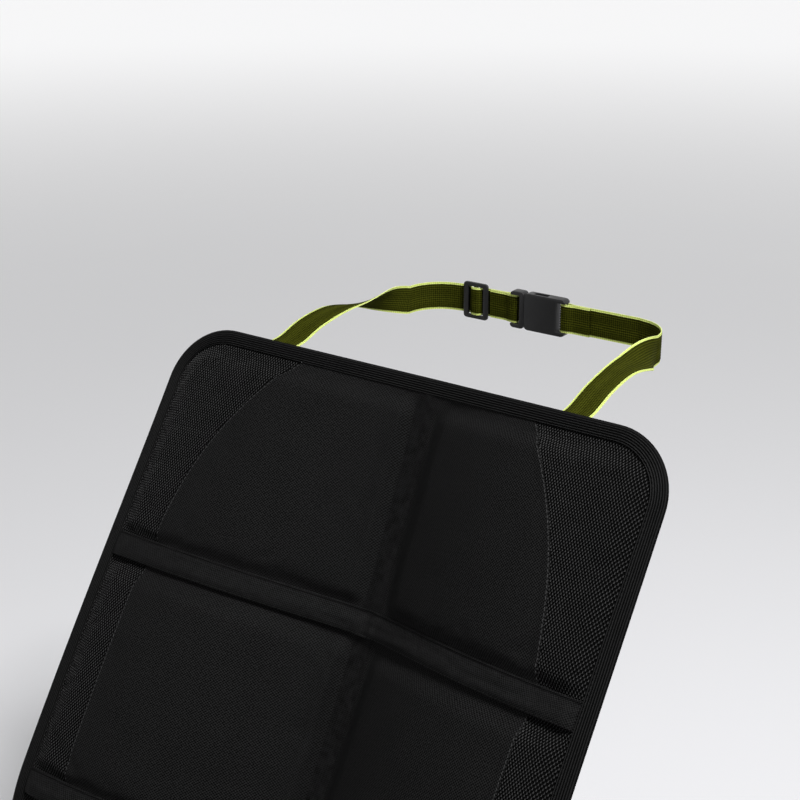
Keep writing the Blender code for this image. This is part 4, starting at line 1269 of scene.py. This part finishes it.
def makeStraps(spec):
    lead = strapLead(spec)
    lead[-1].y += layerOffset
    socketBar = hardware["socketLong"] / 2 - hardware["barWide"] / 2
    plugEnd = hardware["socketLong"] / 2 + hardware["gap"] + hardware["plugHead"]
    plugBar = plugEnd - hardware["barWide"] / 2
    makeStrap("webbing_right", lead + barLoop(socketBar, 1, spec), 1, spec, "strap_right")
    mirrored = [Vector((-point.x, point.y, point.z)) for point in lead]
    line = mirrored + sliderWeave(spec) + barLoop(plugBar, -1, spec)
    makeStrap("webbing_left", line, -1, spec, "strap_left")


makeStraps(strapSpec)


# box stitching that holds each strap under the top edge
tackStitch = dict(stitchSpec, long=2.2 * mm, pitch=2.7 * mm, wide=0.7 * mm, high=0.6 * mm,
                  inside=2 * mm, drop=0.05 * mm)


def makeTacks(spec):
    half = spec["tackSide"] / 2 - tackStitch["inside"]
    height = -spec["sewnGap"] - spec["thick"] - tackStitch["drop"]
    middleS = spec["sewn"] - spec["tackFromEnd"] - spec["tackSide"] / 2
    corners = [(-1, -1), (1, -1), (1, 1), (-1, 1), (-1, -1), (1, 1), (1, -1), (-1, 1)]
    for side in (-1, 1):
        u = np.array([side * spec["place"] + half * x for x, y in corners])
        s = np.array([middleS + half * y for x, y in corners])
        fineU = np.concatenate([np.linspace(a, b, 30) for a, b in zip(u, u[1:])])
        fineS = np.concatenate([np.linspace(a, b, 30) for a, b in zip(s, s[1:])])
        tack = stitchAlong("tack_stitches" + sideName(side), fineU, fineS,
                           np.full(len(fineU), height), tackStitch, limeThread)
        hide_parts("strap_tack" + sideName(side))


makeTacks(strapSpec)


# buckle and slider: the CAD shapes with every edge rounded
roundings = {"buckle_socket": 0.5 * mm, "buckle_plug": 0.4 * mm, "strap_slider": 0.35 * mm}


def makeRounded(node, name, width):
    copy = frame["nodes"][node].copy()
    copy.data = frame["nodes"][node].data.copy()
    copy.name = name
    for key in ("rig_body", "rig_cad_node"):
        if key in copy:
            del copy[key]
    copy.parent = None
    bpy.context.scene.collection.objects.link(copy)
    copy.data.materials.clear()
    editAll(copy, "VERT")
    bpy.ops.mesh.remove_doubles(threshold=0.005 * mm)
    bpy.ops.mesh.dissolve_limited(angle_limit=math.radians(1))
    bpy.ops.object.mode_set(mode="OBJECT")
    bevel = copy.modifiers.new("rounding", "BEVEL")
    bevel.width = width
    bevel.segments = 3
    bevel.limit_method = "ANGLE"
    bevel.angle_limit = math.radians(40)
    bpy.ops.object.modifier_apply(modifier=bevel.name)
    shadeSmooth(copy, 45)
    return setPiece(copy, [node], [moulding])


for node, width in roundings.items():
    makeRounded(node, node.split("_")[1] + "_moulding", width)
print("straps and buckle ready")


# studio: a pale floor that glows more with distance, soft lamps from above
studio = {
    "floor": (0.60, 0.60, 0.62), "glowNear": 0.17, "glowFar": 0.72, "sky": (0.935, 0.935, 0.945),
    "glowFrom": 0.4, "glowTo": 8.0, "ambient": 0.22, "blotch": 0.8, "darkest": 0.98,
    "lamps": {
        "upper right": {"place": (1.1, 0.3, 2.2), "aim": (0, 0.4, 0.3), "size": 0.6, "power": 66},
        "front left": {"place": (-1.7, -1.4, 1.7), "aim": (0, 0.4, 0.3), "size": 1.2, "power": 13},
    },
}


# What the camera sees itself or in a reflection, and no light that falls on the mat
def seenRays(nodes, links):
    rays = nodes.new("ShaderNodeLightPath")
    return mathOf(nodes, links, "MAXIMUM", rays.outputs["Is Camera Ray"], rays.outputs["Is Glossy Ray"])


# The floor lies just under the grip sheet's dots
def addFloor(spec):
    deselectAll()
    bpy.ops.mesh.primitive_plane_add(size=60, location=(0, 0, -backingSpec["dotRise"]))
    floor = bpy.context.object
    floor.name = "studio_floor"
    floorMade, nodes, links, shader = newMaterial("pale floor", spec["floor"], 0.8)
    place = nodes.new("ShaderNodeTexCoord").outputs["Object"]
    blotch = grain(nodes, links, place, spec["blotch"])
    dark = [value * spec["darkest"] for value in spec["floor"]]
    tintedBy(nodes, links, shader, blotch, dark, spec["floor"])
    seen = seenRays(nodes, links)
    far = addNode(nodes, "ShaderNodeVectorMath", operation="LENGTH")
    links.new(place, far.inputs[0])
    spread = addNode(nodes, "ShaderNodeMapRange", interpolation_type="SMOOTHSTEP")
    ends = {"From Min": "glowFrom", "From Max": "glowTo", "To Min": "glowNear", "To Max": "glowFar"}
    for socket, key in ends.items():
        spread.inputs[socket].default_value = spec[key]
    links.new(far.outputs["Value"], spread.inputs["Value"])
    glow = mathOf(nodes, links, "MULTIPLY", seen, spread.outputs["Result"])
    shader.inputs["Emission Color"].default_value = (1, 1, 1, 1)
    links.new(glow, shader.inputs["Emission Strength"])
    floor.data.materials.append(floorMade)


def addLamps(spec):
    for name, lamp in spec["lamps"].items():
        bpy.ops.object.light_add(type="AREA", location=lamp["place"])
        light = bpy.context.object
        light.name = name
        light.data.energy = lamp["power"]
        light.data.size = lamp["size"]
        aim = Vector(lamp["aim"]) - Vector(lamp["place"])
        light.rotation_euler = aim.to_track_quat("-Z", "Y").to_euler()


def addSky(spec):
    world = bpy.data.worlds.new("studio")
    bpy.context.scene.world = world
    world.use_nodes = True
    nodes = world.node_tree.nodes
    links = world.node_tree.links
    nodes.clear()
    seen = seenRays(nodes, links)
    lit = addNode(nodes, "ShaderNodeBackground", Strength=spec["ambient"])
    lit.inputs["Color"].default_value = (1, 1, 1, 1)
    shown = addNode(nodes, "ShaderNodeBackground", Strength=1.0)
    shown.inputs["Color"].default_value = (*spec["sky"], 1)
    mix = nodes.new("ShaderNodeMixShader")
    out = nodes.new("ShaderNodeOutputWorld")
    links.new(seen, mix.inputs["Fac"])
    links.new(lit.outputs["Background"], mix.inputs[1])
    links.new(shown.outputs["Background"], mix.inputs[2])
    links.new(mix.outputs["Shader"], out.inputs["Surface"])


addFloor(studio)
addLamps(studio)
addSky(studio)
bpy.context.scene.view_settings.view_transform = "Standard"
print("studio ready")
